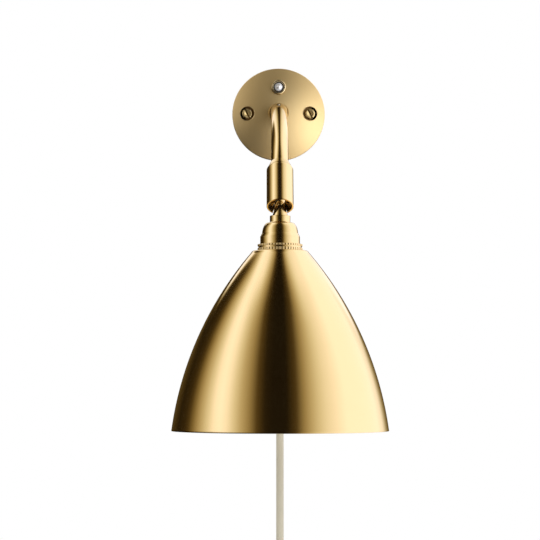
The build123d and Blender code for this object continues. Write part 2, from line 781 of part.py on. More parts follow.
# ------------------------------------------------------------------ lampholder
with BuildPart() as holder_body:
    with BuildSketch(head_level(holder_bottom)) as holder_profile:
        Circle(holder_radius)
        Circle(insert_radius, mode=Mode.SUBTRACT)
    extrude(amount=holder_length)
    with BuildSketch(head_level(holder_bottom)) as holder_lip:
        Circle(holder_radius)
        Circle(insert_radius - holder_wall, mode=Mode.SUBTRACT)
    extrude(amount=holder_wall)

insert_bottom = holder_bottom - holder_wall
socket_end = socket_top + insert_socket_length
with BuildPart() as holder_insert:
    with BuildSketch(head_level(insert_bottom)) as insert_profile:
        Circle(insert_radius)
    extrude(amount=insert_bottom - insert_top)
    with BuildSketch(head_level(insert_bottom)) as insert_socket:
        Circle(insert_bore / 2)
    extrude(amount=insert_bottom - socket_top, mode=Mode.SUBTRACT)

with BuildPart() as screw_shell:
    with BuildSketch(head_level(socket_end)) as shell_profile:
        Circle(insert_bore / 2)
        Circle(insert_bore / 2 - shell_wall, mode=Mode.SUBTRACT)
    extrude(amount=insert_socket_length - contact_height)

with BuildPart() as centre_contact:
    with BuildSketch(head_level(contact_bottom)) as contact_profile:
        Circle(contact_diameter / 2)
    extrude(amount=contact_height)

with BuildPart() as holder_terminals:
    with BuildSketch(head_level(insert_top)) as terminal_profile:
        with GridLocations(terminal_spacing, 1, 2, 1):
            Rectangle(terminal_length, terminal_width)
    extrude(amount=terminal_height)
    with BuildSketch(head_level(insert_top - terminal_height)) as terminal_screw_holes:
        with GridLocations(terminal_spacing, 1, 2, 1):
            Circle(terminal_width / 4)
    extrude(amount=-terminal_height / 2, mode=Mode.SUBTRACT)

# Two cores from the ball, through the stem, out to the holder's terminals
terminal_inner = (terminal_spacing - terminal_length) / 2
head_lead_drop = insert_top - terminal_height / 2
with BuildPart() as head_leads:
    for side in (-1, 1):
        with BuildLine(head_section) as head_lead_path:
            FilletPolyline(
                (side * head_lead_offset, ball_radius / 2),
                (side * head_lead_offset, -head_lead_drop),
                (side * terminal_inner, -head_lead_drop),
                radius=lead_diameter / 2 + running_clearance,
            )
        lead_start = ball_centre + Vector(side * head_lead_offset, 0, ball_radius / 2)
        with BuildSketch(Plane(origin=lead_start, z_dir=(0, 0, -1))) as head_lead_section:
            Circle(lead_diameter / 2)
        sweep()

# ------------------------------------------------------------------ bulb


def bulb_wall(inset):
    """Outline of the bulb's glass, or of its hollow at an inset, as a closed half profile."""
    neck = bulb_neck_diameter / 2 - inset
    globe = bulb_diameter / 2 - inset
    join_angle = math.radians(48)
    neck_end = (neck, -bulb_glass_top - bulb_neck_height)
    join = (globe * math.sin(join_angle), -bulb_centre + globe * math.cos(join_angle))
    Polyline((0, -bulb_glass_top - inset), (neck, -bulb_glass_top - inset), neck_end, join)
    ThreePointArc(join, (globe, -bulb_centre), (0, -bulb_centre - globe))
    Line((0, -bulb_centre - globe), (0, -bulb_glass_top - inset))


with BuildPart() as bulb_glass:
    with BuildSketch(head_section) as glass_profile:
        with BuildLine() as glass_outline:
            bulb_wall(0)
        make_face()
        with BuildLine() as glass_hollow:
            bulb_wall(bulb_glass_wall)
        make_face(mode=Mode.SUBTRACT)
    revolve(axis=head_axis)

with BuildPart() as bulb_base:
    with BuildSketch(head_level(bulb_glass_top)) as base_profile:
        Circle(bulb_base_diameter / 2)
    extrude(amount=bulb_base_height)
    chamfer(bulb_base.edges().group_by(Axis.Z)[-1], bulb_base_height / 8)

with BuildPart() as bulb_tip:
    with BuildSketch(head_level(bulb_base_top)) as tip_profile:
        Circle(contact_diameter / 2)
    extrude(amount=bulb_tip_height)

# ------------------------------------------------------------------ cord
cord_line = Vector(cord_x, -cord_height, 0)
sheath_end = bush_inner_end - bulb_tip_height
coil_start_z = coil_centre_z + coil_end_straight

with BuildPart() as cord_bush:
    with BuildSketch(Plane.XY.offset(bush_outer_end)) as bush_profile:
        with Locations((cord_x, -cord_height)):
            Circle(cord_radius + bush_wall)
        with Locations((cord_x, -cord_height / 2)):
            Rectangle(cord_diameter + 2 * bush_wall, cord_height)
        with Locations((cord_x, -cord_height)):
            Circle(cord_radius, mode=Mode.SUBTRACT)
    extrude(amount=bush_inner_end - bush_outer_end)

with BuildPart() as supply_leads:
    with BuildSketch(Plane.XY.offset(sheath_end)) as supply_lead_profile:
        with Locations((cord_x, -cord_height)):
            with GridLocations(2 * lead_offset, 1, 2, 1):
                Circle(lead_diameter / 2)
    extrude(amount=block_top - block_depth - sheath_end)

with BuildPart() as supply_cord:
    with BuildSketch(Plane.XY.offset(coil_start_z)) as cord_profile:
        with Locations((cord_x, -cord_height)):
            Circle(cord_radius)
    extrude(amount=sheath_end - coil_start_z)

# The coil lies on the wall: half turns spiral in, one half turn climbs off the wall by a layer,
# and half turns spiral out again on top.
inward_reach = [
    coil_inner_radius + (coil_half_turns_in - step) * coil_pitch / 2
    for step in range(coil_half_turns_in + 1)
]
outward_reach = [
    coil_inner_radius + step * coil_pitch / 2 for step in range(coil_half_turns_out + 1)
]
coil_passes = []
for number, reach in enumerate(inward_reach + outward_reach):
    flip = 1 if number % 2 == 0 else -1
    layer_height = cord_height if number <= coil_half_turns_in else tail_height
    coil_passes.append(Vector(coil_centre_x + flip * reach, -layer_height, coil_centre_z))

with BuildPart() as cord_coil:
    with BuildLine() as coil_path:
        Line(coil_passes[0] + Vector(0, 0, coil_end_straight), coil_passes[0])
        for number in range(len(coil_passes) - 1):
            half_turn(coil_passes[number], coil_passes[number + 1], -1 if number % 2 == 0 else 1)
        Line(coil_passes[-1], coil_passes[-1] - Vector(0, 0, coil_end_straight))
    with BuildSketch(Plane.XY.offset(coil_start_z)) as coil_section:
        with Locations((cord_x, -cord_height)):
            Circle(cord_radius)
    sweep()

with BuildPart() as cord_tail:
    with BuildSketch(Plane.XY.offset(relief_top)) as tail_profile:
        with Locations((tail_x, -tail_height)):
            Circle(cord_radius)
    extrude(amount=coil_tail_length)

# A flat tie holds the coil's turns together at the top.
tie_bottom = coil_centre_z + coil_inner_radius - cord_radius - loose_clearance
tie_bottom -= coil_inner_radius - math.sqrt(coil_inner_radius**2 - (tie_width / 2) ** 2)
tie_top = coil_centre_z + coil_outer_radius - coil_pitch * 0.75 + cord_radius + loose_clearance
with BuildPart() as coil_tie:
    with BuildSketch(Plane.YZ.offset(coil_centre_x - tie_width / 2)) as tie_profile:
        tie_back = cord_height - cord_radius - running_clearance
        tie_front = tail_height + cord_radius + running_clearance
        with Locations((-(tie_back + tie_front) / 2, (tie_bottom + tie_top) / 2)):
            Rectangle(
                tie_front - tie_back + 2 * tie_thickness,
                tie_top - tie_bottom + 2 * tie_thickness,
            )
            Rectangle(tie_front - tie_back, tie_top - tie_bottom, mode=Mode.SUBTRACT)
    extrude(amount=tie_width)

with BuildPart() as plug_relief:
    with BuildSketch(Plane.XY.offset(relief_top)) as relief_small:
        with Locations((tail_x, -tail_height)):
            Circle(cord_radius + bush_wall / 2)
    with BuildSketch(Plane.XY.offset(plug_top)) as relief_large:
        with Locations((tail_x, -tail_height)):
            Circle(relief_diameter / 2)
    loft()

# Flat two-pin plug, pins downwards
with BuildPart() as plug_body:
    with BuildSketch(Plane.XZ.offset(tail_height - plug_thickness / 2)) as plug_profile:
        with BuildLine() as plug_outline:
            Polyline(
                (tail_x - plug_neck_width / 2, plug_top),
                (tail_x + plug_neck_width / 2, plug_top),
                (tail_x + plug_width / 2, plug_bottom + plug_shoulder_length),
                (tail_x + plug_width / 2, plug_bottom),
                (tail_x - plug_width / 2, plug_bottom),
                (tail_x - plug_width / 2, plug_bottom + plug_shoulder_length),
                close=True,
            )
        make_face()
        fillet(plug_profile.vertices(), plug_round)
    extrude(amount=plug_thickness)
    fillet(plug_body.edges().group_by(Axis.Y)[0], plug_round / 2)
    fillet(plug_body.edges().group_by(Axis.Y)[-1], plug_round / 2)

with BuildPart() as plug_pins:
    with BuildSketch(Plane.XY.offset(plug_bottom)) as pin_profile:
        with Locations((tail_x, -tail_height)):
            with GridLocations(pin_spacing, 1, 2, 1):
                Circle(pin_diameter / 2)
    extrude(amount=-pin_length)
    fillet(plug_pins.edges().group_by(Axis.Z)[0], pin_diameter / 4)

# ------------------------------------------------------------------ the cord's facts
coil_wire = coil_path.wire()
coil_length = coil_wire.length
sample_count = int(coil_length / cord_diameter * 2)
samples = [coil_wire.position_at(step / sample_count) for step in range(sample_count + 1)]
apart = int(sample_count * math.pi * coil_inner_radius / coil_length)
least_gap = min(
    (samples[first] - samples[second]).length
    for first in range(len(samples))
    for second in range(first + apart, len(samples))
) - cord_diameter
cord_length = coil_length + (sheath_end - coil_start_z) + coil_tail_length
tube_volume = coil_length * math.pi * cord_radius**2
print(f"cord {cord_length:.0f} mm, coil {coil_length:.0f} mm, radii {coil_inner_radius} up to {coil_outer_radius} mm")
print(f"coil's least gap to itself {least_gap:.2f} mm")
print(f"coil volume {cord_coil.part.volume:.0f} of {tube_volume:.0f} mm3")

# ------------------------------------------------------------------ one file for each piece
pieces = {
    "wall_plate": wall_plate,
    "fixing_screws": fixing_screws,
    "mounting_strap": mounting_strap,
    "arm_socket": arm_socket,
    "arm_grub_screw": arm_grub_screw,
    "terminal_block": terminal_block,
    "terminal_screws": terminal_screws,
    "switch_body": switch_body,
    "switch_bezel": switch_bezel,
    "switch_button": switch_button,
    "switch_spring": switch_spring,
    "switch_leads": switch_leads,
    "arm_tube": arm_tube,
    "arm_leads": arm_leads,
    "joint_sleeve": joint_sleeve,
    "ball_cup": ball_cup,
    "ball_retainer": ball_retainer,
    "ball_spring": ball_spring,
    "ball_stem": ball_stem,
    "stem_nut": stem_nut,
    "holder_cap": holder_cap,
    "shade_ring_upper": shade_ring_upper,
    "shade_ring_lower": shade_ring_lower,
    "shade": shade,
    "holder_body": holder_body,
    "holder_insert": holder_insert,
    "screw_shell": screw_shell,
    "centre_contact": centre_contact,
    "holder_terminals": holder_terminals,
    "head_leads": head_leads,
    "bulb_glass": bulb_glass,
    "bulb_base": bulb_base,
    "bulb_tip": bulb_tip,
    "cord_bush": cord_bush,
    "supply_leads": supply_leads,
    "supply_cord": supply_cord,
    "cord_coil": cord_coil,
    "cord_tail": cord_tail,
    "coil_tie": coil_tie,
    "plug_relief": plug_relief,
    "plug_body": plug_body,
    "plug_pins": plug_pins,
}
for name, piece in pieces.items():
    piece.part.label = name
    export_step(piece.part, f"parts/{name}.step")
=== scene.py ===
import logging
import math
from dataclasses import dataclass
from enum import Enum
from functools import cache
from typing import Callable, Iterable, Sequence

import bmesh
import bpy
from bmesh.types import BMesh, BMFace, BMVert
from bpy.types import ColorRamp, Material, Mesh, Node, NodeSocket, NodeTree, Object
from mathutils import Matrix, Vector


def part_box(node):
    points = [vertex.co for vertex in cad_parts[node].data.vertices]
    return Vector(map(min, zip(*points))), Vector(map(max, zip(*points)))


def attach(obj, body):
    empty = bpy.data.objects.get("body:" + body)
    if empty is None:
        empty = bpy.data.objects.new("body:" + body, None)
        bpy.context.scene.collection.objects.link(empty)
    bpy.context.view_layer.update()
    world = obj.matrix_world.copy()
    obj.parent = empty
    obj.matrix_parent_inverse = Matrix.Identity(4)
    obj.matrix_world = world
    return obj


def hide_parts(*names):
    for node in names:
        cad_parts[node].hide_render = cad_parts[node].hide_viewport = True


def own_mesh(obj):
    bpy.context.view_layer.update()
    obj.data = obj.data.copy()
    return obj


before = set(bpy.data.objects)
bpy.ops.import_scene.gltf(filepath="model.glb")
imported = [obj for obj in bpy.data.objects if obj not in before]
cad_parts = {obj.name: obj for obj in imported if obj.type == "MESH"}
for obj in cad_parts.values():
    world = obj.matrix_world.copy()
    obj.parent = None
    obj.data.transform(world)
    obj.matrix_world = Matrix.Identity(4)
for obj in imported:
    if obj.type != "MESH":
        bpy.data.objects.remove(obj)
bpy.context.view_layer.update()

log = logging.getLogger("wall_lamp")

MM = 0.001
METRES = Matrix.Scale(MM, 4)
# An outline in millimetres whose Y is turned up the wall and that is pulled into the room.
FACING = METRES @ Matrix.Rotation(math.radians(90.0), 4, "X")

Point = tuple[float, float]
Triple = tuple[float, float, float]


class Body(Enum):
    """The lamp's bodies, as its joints move them."""

    FIXTURE = "fixture"
    BUTTON = "button"
    STEM = "stem"
    HEAD = "head"


class Grain(Enum):
    """How a metal's fine marks run."""

    NONE = "none"
    ROUND_UPRIGHT = "round an upright axis"
    ROUND_OUTWARD = "round an axis that points into the room"
    ALONG_SLEEVE = "round the sleeve's axis"


# ---------------------------------------------------------------- node trees


def _sign(operation: str, turned: bool = False) -> Callable[["Wire", "Wire | float"], "Wire"]:
    """The method behind one of Python's signs, with the wire on its right where turned."""

    def method(wire: "Wire", other: "Wire | float") -> "Wire":
        """Adds the Math node."""
        return wire.graph.maths(operation, *((other, wire) if turned else (wire, other)))

    return method


class Wire:
    """A socket that takes part in Python sums, each of which adds a Math node."""

    def __init__(self, graph: "Graph", socket: NodeSocket) -> None:
        """Keeps the graph and its socket."""
        self.graph = graph
        self.socket = socket

    __add__, __radd__ = _sign("ADD"), _sign("ADD", True)
    __sub__, __rsub__ = _sign("SUBTRACT"), _sign("SUBTRACT", True)
    __mul__, __rmul__ = _sign("MULTIPLY"), _sign("MULTIPLY", True)
    __truediv__, __pow__ = _sign("DIVIDE"), _sign("POWER")


class Graph:
    """A node tree, filled by one method that takes a node's type, settings and inputs."""

    def __init__(self, tree: NodeTree) -> None:
        """Keeps the tree that the nodes go into."""
        self.tree = tree

    def feed(self, node: Node, inputs: dict[str | int, object]) -> None:
        """Gives a node's sockets, by name or number, their values or wires."""
        for name, value in inputs.items():
            if isinstance(value, Wire):
                self.tree.links.new(value.socket, node.inputs[name])
            else:
                node.inputs[name].default_value = value

    def node(
        self, kind: str, settings: dict[str, object] | None = None,
        inputs: dict[str | int, object] | None = None,
    ) -> Node:
        """Adds a node.

        Args:
            kind: The node's type.
            settings: Its properties, or a ramp's stops, which are set first.
            inputs: Values or wires of its sockets, by name or number.

        Returns:
            The node.
        """
        node = self.tree.nodes.new(kind)
        for name, value in (settings or {}).items():
            if name == "stops":
                self._set_stops(node.color_ramp, value)
            else:
                setattr(node, name, value)
        self.feed(node, inputs or {})
        return node

    def wire(
        self, kind: str, settings: dict[str, object] | None = None,
        inputs: dict[str | int, object] | None = None, output: str | int = 0,
    ) -> Wire:
        """Adds a node and gives one of its outputs.

        Args:
            kind: The node's type.
            settings: Its properties.
            inputs: Values or wires of its sockets.
            output: The output's name or number.

        Returns:
            The output as a wire.
        """
        return Wire(self, self.node(kind, settings, inputs).outputs[output])

    def maths(self, operation: str, *values: "Wire | float") -> Wire:
        """A Math node on up to three values."""
        return self.wire("ShaderNodeMath", {"operation": operation}, dict(enumerate(values)))

    def noise(self, vector: Wire, scale: float, **more: float) -> Wire:
        """A noise texture, with its other inputs by their names."""
        return self.wire("ShaderNodeTexNoise", inputs={"Vector": vector, "Scale": scale, **more})

    def bump(self, height: Wire) -> Wire:
        """The normal that a height in metres gives."""
        return self.wire("ShaderNodeBump", inputs={"Strength": 1.0, "Distance": 1.0, "Height": height})

    def vector(self, *parts: "Wire | float") -> Wire:
        """A vector from its parts, of which the last may be left out."""
        return self.wire("ShaderNodeCombineXYZ", inputs=dict(enumerate(parts)))

    def parts(self, vector: Wire) -> tuple[Wire, Wire, Wire]:
        """A vector's X, Y and Z."""
        split = self.node("ShaderNodeSeparateXYZ", inputs={0: vector})
        return tuple(Wire(self, output) for output in split.outputs)

    def mix(self, factor: "Wire | float", first: Triple,
            second: Triple) -> Wire:
        """Mixes two colours.

        Args:
            factor: How much of the second colour.
            first: The first colour.
            second: The second colour.

        Returns:
            The mixed colour.
        """
        return self.wire("ShaderNodeMix", {"data_type": "RGBA"}, {
            0: factor, 6: (*first, 1.0), 7: (*second, 1.0)}, output=2)

    @staticmethod
    def _set_stops(ramp: ColorRamp, stops: Sequence[tuple[float, float, float, float]]) -> None:
        """Sets a ramp's stops, each a place and the three parts of a colour."""
        while len(ramp.elements) > 1:
            ramp.elements.remove(ramp.elements[-1])
        for number, (place, *colour) in enumerate(stops):
            element = ramp.elements[0] if number == 0 else ramp.elements.new(place)
            element.position = place
            element.color = (*colour, 1.0)


# ---------------------------------------------------------------- finishes


@dataclass(frozen=True)
class Finish:
    """What every finish shares: a name and a principled shader."""

    name: str
    colour: Triple
    roughness: float = 0.3

    def start(self) -> tuple[Material, Graph, Node]:
        """Makes the material, its graph and its shader."""
        material = bpy.data.materials.new(self.name)
        material.use_nodes = True
        material.node_tree.nodes.clear()
        graph = Graph(material.node_tree)
        shader = graph.node("ShaderNodeBsdfPrincipled", inputs={
            "Base Color": (*self.colour, 1.0), "Roughness": self.roughness,
        })
        graph.node("ShaderNodeOutputMaterial", inputs={"Surface": Wire(graph, shader.outputs[0])})
        return material, graph, shader

    def make(self) -> Material:
        """Makes the plain material."""
        return self.start()[0]


@dataclass(frozen=True)
class Metal(Finish):
    """Bare metal with fine turned or brushed marks, faint scratches and slight tarnish."""

    grain: Grain = Grain.NONE
    centre: Triple = (0.0, 0.0, 0.0)
    grain_height: float = 0.000004
    grain_scale: float = 2600.0
    tarnish: float = 0.12
    scratches: float = 0.0
    uneven: float = 0.05
    cloud_scale: float = 38.0
    speck_scale: float = 900.0
    dulling: Triple = (0.86, 0.80, 0.66)

    def make(self) -> Material:
        """Makes the metal.

        Returns:
            The material.
        """
        material, graph, shader = self.start()
        place = graph.wire("ShaderNodeTexCoord", output="Object")
        cloud = graph.noise(place, self.cloud_scale, Detail=3.0, Roughness=0.55)
        speck = graph.noise(place, self.speck_scale, Detail=2.0, Roughness=0.6)
        dull = tuple(part * share for part, share in zip(self.colour, self.dulling))
        patches = graph.maths("SMOOTH_MIN", cloud * self.tarnish * 2.0, 1.0, 0.1)
        rough = (cloud - 0.5) * self.uneven + (speck - 0.5) * (self.uneven * 0.7) + self.roughness
        height = speck * (self.grain_height * 0.2)
        if self.grain is not Grain.NONE:
            marks = self._marks(graph, place)
            rough = rough + (marks - 0.5) * (self.uneven * 1.4)
            height = height + marks * self.grain_height
        if self.scratches:
            height = height - self._scratches(graph, place) * self.scratches
        graph.feed(shader, {
            "Metallic": 1.0, "Base Color": graph.mix(patches, self.colour, dull),
            "Roughness": rough, "Normal": graph.bump(height)})
        return material

    def _marks(self, graph: Graph, place: Wire) -> Wire:
        """Fine lines that run round the piece's axis.

        Args:
            graph: The material's graph.
            place: Object coordinates.

        Returns:
            A value from 0 to 1 that changes across the lines.
        """
        lean = -60.0 if self.grain is Grain.ALONG_SLEEVE else 0.0
        x, y, z = graph.parts(graph.wire("ShaderNodeMapping", {"vector_type": "TEXTURE"}, {
            "Vector": place, "Location": self.centre, "Rotation": (math.radians(lean), 0.0, 0.0)}))
        if self.grain is Grain.ROUND_UPRIGHT:
            across, first, second = z, x, y
        elif self.grain is Grain.ALONG_SLEEVE:
            across, first, second = y, x, z
        else:
            across, first, second = (x * x + z * z) ** 0.5, x, z
        slow = self.grain_scale * 0.006
        lines = graph.vector(first * slow, second * slow, across * self.grain_scale)
        return graph.noise(lines, 1.0, Detail=4.0, Roughness=0.7)

    @staticmethod
    def _scratches(graph: Graph, place: Wire) -> Wire:
        """Rare hair-thin scratches, 0 to 1."""
        warp = graph.wire("ShaderNodeTexNoise", inputs={"Vector": place, "Scale": 60.0}, output=1)
        bent = graph.wire("ShaderNodeVectorMath", {"operation": "MULTIPLY_ADD"}, {
            0: warp, 1: (0.01, 0.01, 0.01), 2: place})
        cells = graph.wire("ShaderNodeTexVoronoi", {"feature": "DISTANCE_TO_EDGE"}, {
            "Vector": bent, "Scale": 170.0})
        return graph.wire("ShaderNodeMapRange", {"clamp": True}, {
            0: cells, 1: 0.0, 2: 0.012, 3: 1.0, 4: 0.0})


@dataclass(frozen=True)
class Moulded(Finish):
    """Moulded plastic, rubber or ceramic, with a faint skin and a thin clear coat if it shines."""

    skin_height: float = 0.000012
    skin_scale: float = 900.0
    mottle: float = 0.06
    coat: float = 0.0
    soft: float = 0.0

    def make(self) -> Material:
        """Makes the moulded material.

        Returns:
            The material.
        """
        material, graph, shader = self.start()
        place = graph.wire("ShaderNodeTexCoord", output="Object")
        skin = graph.noise(place, self.skin_scale, Detail=3.0)
        broad = graph.noise(place, 55.0, Detail=2.0)
        shade = tuple(part * (1 - self.mottle * 2) for part in self.colour)
        graph.feed(shader, {
            "Base Color": graph.mix(broad, self.colour, shade),
            "Roughness": (skin - 0.5) * 0.12 + self.roughness,
            "Normal": graph.bump(skin * self.skin_height),
            "Coat Weight": self.coat, "Coat Roughness": 0.08,
            "Subsurface Weight": self.soft, "Subsurface Scale": 0.002})
        return material


@dataclass(frozen=True)
class Braid(Finish):
    """Braided yarn that follows a piece's own UV map, which is in metres along and around."""

    shadow: Triple = (0.45, 0.40, 0.30)
    yarn: float = 0.0009
    height: float = 0.00012

    def make(self) -> Material:
        """Makes the braid.

        Returns:
            The material.
        """
        material, graph, shader = self.start()
        along, around, _ = graph.parts(graph.wire("ShaderNodeTexCoord", output="UV"))
        wave = math.pi / self.yarn
        right, left = (graph.maths("SINE", way * wave) for way in (along + around, along - around))
        cross = graph.maths("SINE", (along * 0.5) * wave) * graph.maths("SINE", (around * 0.5) * wave)
        weave = graph.maths("MAXIMUM", right, left) * 0.5 + 0.5
        knots = cross * 0.15 + weave * 0.85
        fuzz = graph.noise(graph.vector(along * 2200.0, around * 9000.0), 1.0, Detail=3.0)
        uneven = graph.noise(graph.wire("ShaderNodeTexCoord", output="Object"), 160.0)
        tone = knots * 0.7 + fuzz * 0.3 + (uneven - 0.5) * 0.2
        graph.feed(shader, {
            "Base Color": graph.mix(tone, self.shadow, self.colour),
            "Normal": graph.bump((knots * 0.8 + fuzz * 0.2) * self.height),
            "Sheen Weight": 0.25, "Sheen Roughness": 0.5})
        return material


BRASS = (0.90, 0.685, 0.345)
SLEEVE_TOP = (0.0, -0.104799, -0.053)
BALL = (0.0, -0.119899, -0.079154)

PLATE_BRASS = Metal("plate_brass_satin", BRASS, 0.5, Grain.ROUND_OUTWARD, (0.0, 0.0, 0.0),
                    grain_height=0.0000022, grain_scale=2400.0)
ARM_BRASS = Metal("arm_brass_polished", BRASS, 0.13, scratches=0.000002)
SLEEVE_BRASS = Metal("sleeve_brass_polished", BRASS, 0.13, Grain.ALONG_SLEEVE, SLEEVE_TOP,
                     grain_height=0.0000012, scratches=0.000002)
STEM_BRASS = Metal("stem_brass_polished", BRASS, 0.17, Grain.ROUND_UPRIGHT, BALL, grain_height=0.000001)
CAP_BRASS = Metal("cap_brass_polished", BRASS, 0.12, Grain.ROUND_UPRIGHT, BALL, grain_height=0.0000012)
RING_BRASS = Metal("ring_brass_knurled", BRASS, 0.2, Grain.ROUND_UPRIGHT, BALL, grain_height=0.000001)
SHADE_BRASS = Metal("shade_brass_spun", BRASS, 0.11, Grain.ROUND_UPRIGHT, BALL,
                    grain_height=0.0000032, grain_scale=1500.0, tarnish=0.1)
SCREW_BRASS = Metal("screw_brass", (0.86, 0.65, 0.30), 0.38, Grain.ROUND_OUTWARD, grain_height=0.000001)
BEZEL_BRASS = Metal("bezel_brass", (0.92, 0.74, 0.42), 0.24, Grain.ROUND_OUTWARD, (0.0, 0.0, 0.021),
                    grain_height=0.000001)
RAW_BRASS = Metal("turned_brass", (0.80, 0.60, 0.28), 0.3, Grain.ROUND_UPRIGHT, BALL, tarnish=0.3)
# Dark brass that paints shade into the screw recesses, the arm hole's wall and the screw slots.
RECESS_PAINTED_SHADE = Metal("recess_brass_dull", (0.30, 0.19, 0.075), 0.5, tarnish=0.4)
# Near-black brass that paints shade into the sleeve's bore.
BORE_PAINTED_SHADE = Metal("sleeve_bore_dull", (0.14, 0.085, 0.035), 0.5, tarnish=0.4)
CHROME = Metal("button_chrome", (0.96, 0.96, 0.96), 0.5, tarnish=0.02, grain_height=0.0000004)
NICKEL = Metal("pin_nickel", (0.72, 0.70, 0.66), 0.22, tarnish=0.1)
STEEL = Metal("zinc_plated_steel", (0.58, 0.58, 0.57), 0.34, Grain.NONE, uneven=0.2)
ALUMINIUM = Metal("bulb_base_aluminium", (0.76, 0.76, 0.77), 0.3, Grain.ROUND_UPRIGHT, BALL)
SOLDER = Metal("bulb_contact_solder", (0.5, 0.5, 0.52), 0.45)
BLACK_PLASTIC = Moulded("switch_plastic_black", (0.03, 0.03, 0.032), 0.4)
CUP_PLASTIC = Moulded("cup_plastic_white", (0.74, 0.73, 0.68), 0.45, soft=0.1)
BLOCK_PLASTIC = Moulded("block_plastic_white", (0.74, 0.73, 0.68), 0.4, soft=0.1)
CERAMIC = Moulded("holder_ceramic", (0.76, 0.74, 0.69), 0.55, mottle=0.08)
LEAD_PLASTIC = Moulded("lead_cover_brown", (0.10, 0.06, 0.035), 0.4)
RUBBER = Moulded("bush_rubber_cream", (0.62, 0.56, 0.42), 0.6)
PLUG_PLASTIC = Moulded("plug_plastic_cream", (0.68, 0.62, 0.48), 0.32, coat=0.25, soft=0.08)
OPAL = Moulded("bulb_opal_glass", (0.86, 0.85, 0.82), 0.2, skin_height=0.0, mottle=0.01, coat=1.0,
               soft=0.35)
CORD_YARN = Braid("cord_yarn_cream", (0.80, 0.75, 0.61), 0.75, shadow=(0.50, 0.45, 0.32))
TIE_YARN = Braid("tie_yarn_black", (0.06, 0.055, 0.05), 0.8, shadow=(0.015, 0.014, 0.013), yarn=0.0012)

@cache
def material_of(finish: Finish) -> Material:
    """The finish's material, made once."""
    return finish.make()


# ---------------------------------------------------------------- shapes


@dataclass(frozen=True)
class Place:
    """Where a turned piece stands: its origin in millimetres and the way its axis points."""

    origin: Triple
    axis: Triple

    def matrix(self) -> Matrix:
        """Turns local millimetres, with the axis along Z, into the lamp's metres."""
        turn = Vector((0.0, 0.0, 1.0)).rotation_difference(Vector(self.axis)).to_matrix().to_4x4()
        return Matrix.Scale(MM, 4) @ Matrix.Translation(Vector(self.origin)) @ turn


ROOMWARD = Place((0.0, 0.0, 0.0), (0.0, -1.0, 0.0))
SLEEVE = Place((0.0, -104.799, -53.0), (0.0, -0.5, -0.8660254))
HEAD = Place((0.0, -119.899, -79.154), (0.0, 0.0, 1.0))


def rounded(corners: Sequence[tuple[float, ...]], steps: int = 5, closed: bool = False) -> list[Point]:
    """Rounds an outline's corners.

    Args:
        corners: Radius, height and, where the corner is rounded, its rounding, in millimetres.
        steps: Faces in each rounded corner.
        closed: Whether the outline's end joins its start.

    Returns:
        The outline's points, with one near each end of a straight run beside a rounding.
    """
    points: list[Point] = []
    count = len(corners)
    for number, corner in enumerate(corners):
        here = Vector(corner[:2])
        rounding = corner[2] if len(corner) > 2 else 0.0
        if not rounding or (not closed and number in (0, count - 1)):
            points.append((here.x, here.y))
            continue
        back = Vector(corners[number - 1][:2]) - here
        on = Vector(corners[(number + 1) % count][:2]) - here
        half = back.angle(on) / 2
        reach = min(rounding / math.tan(half), back.length * 0.48, on.length * 0.48)
        radius = reach * math.tan(half)
        centre = here + (back.normalized() + on.normalized()).normalized() * (radius / math.sin(half))
        first, last = here + back.normalized() * reach, here + on.normalized() * reach
        start, end = first - centre, last - centre
        swing = start.angle_signed(end)
        margin = min(0.25, reach * 0.5)
        points.append(tuple(first + back.normalized() * min(margin, back.length * 0.02 + 0.02)))
        for step in range(steps + 1):
            turned = Matrix.Rotation(-swing * step / steps, 2) @ start
            points.append(tuple(centre + turned))
        points.append(tuple(last + on.normalized() * min(margin, on.length * 0.02 + 0.02)))
    return points


def arc(start: Point, end: Point, radius: float, steps: int, side: int = 1) -> list[Point]:
    """Points on an arc between two points, both left out.

    Args:
        start: Its first point.
        end: Its last point.
        radius: Its radius.
        steps: Faces in it.
        side: 1 or -1, the side on which it bulges.

    Returns:
        The points between.
    """
    first, last = Vector(start), Vector(end)
    chord = last - first
    normal = Vector((-chord.y, chord.x)).normalized() * side
    centre = (first + last) / 2 - normal * math.sqrt(radius**2 - (chord.length / 2) ** 2)
    swing = (first - centre).angle_signed(last - centre)
    return [
        tuple(centre + Matrix.Rotation(-swing * step / steps, 2) @ (first - centre))
        for step in range(1, steps)
    ]


def catmull(points: Sequence[Point], steps: int) -> list[Point]:
    """A smooth line through points, for a spun profile.

    Args:
        points: The points it passes through.
        steps: Faces between two of them.

    Returns:
        The line's points, both ends among them.
    """
    ends = [Vector(points[0]) * 2 - Vector(points[1]), *map(Vector, points),
            Vector(points[-1]) * 2 - Vector(points[-2])]
    line: list[Point] = []
    for a, b, c, d in zip(ends, ends[1:], ends[2:], ends[3:]):
        for step in range(steps):
            t = step / steps
            line.append(tuple(0.5 * (2 * b + (c - a) * t + (2 * a - 5 * b + 4 * c - d) * t**2
                                     + (3 * b - a - 3 * c + d) * t**3)))
    line.append(tuple(points[-1]))
    return line


def rectangle(left: float, low: float, right: float, high: float) -> list[Point]:
    """A rectangle's corners."""
    return [(left, low), (right, low), (right, high), (left, high)]


def arch(x: float, height: float, radius: float, foot: float) -> list[Point]:
    """The outline of a round arch that stands on the wall, seen from above.

    Args:
        x: Its middle across.
        height: How far the round part's centre is from the wall.
        radius: Its radius.
        foot: Where its feet end.

    Returns:
        The outline.
    """
    crown = [(x + radius * math.cos(math.pi * n / 24), -height - radius * math.sin(math.pi * n / 24))
             for n in range(1, 24)]
    return [(x - radius, foot), (x + radius, foot), (x + radius, -height), *crown, (x - radius, -height)]


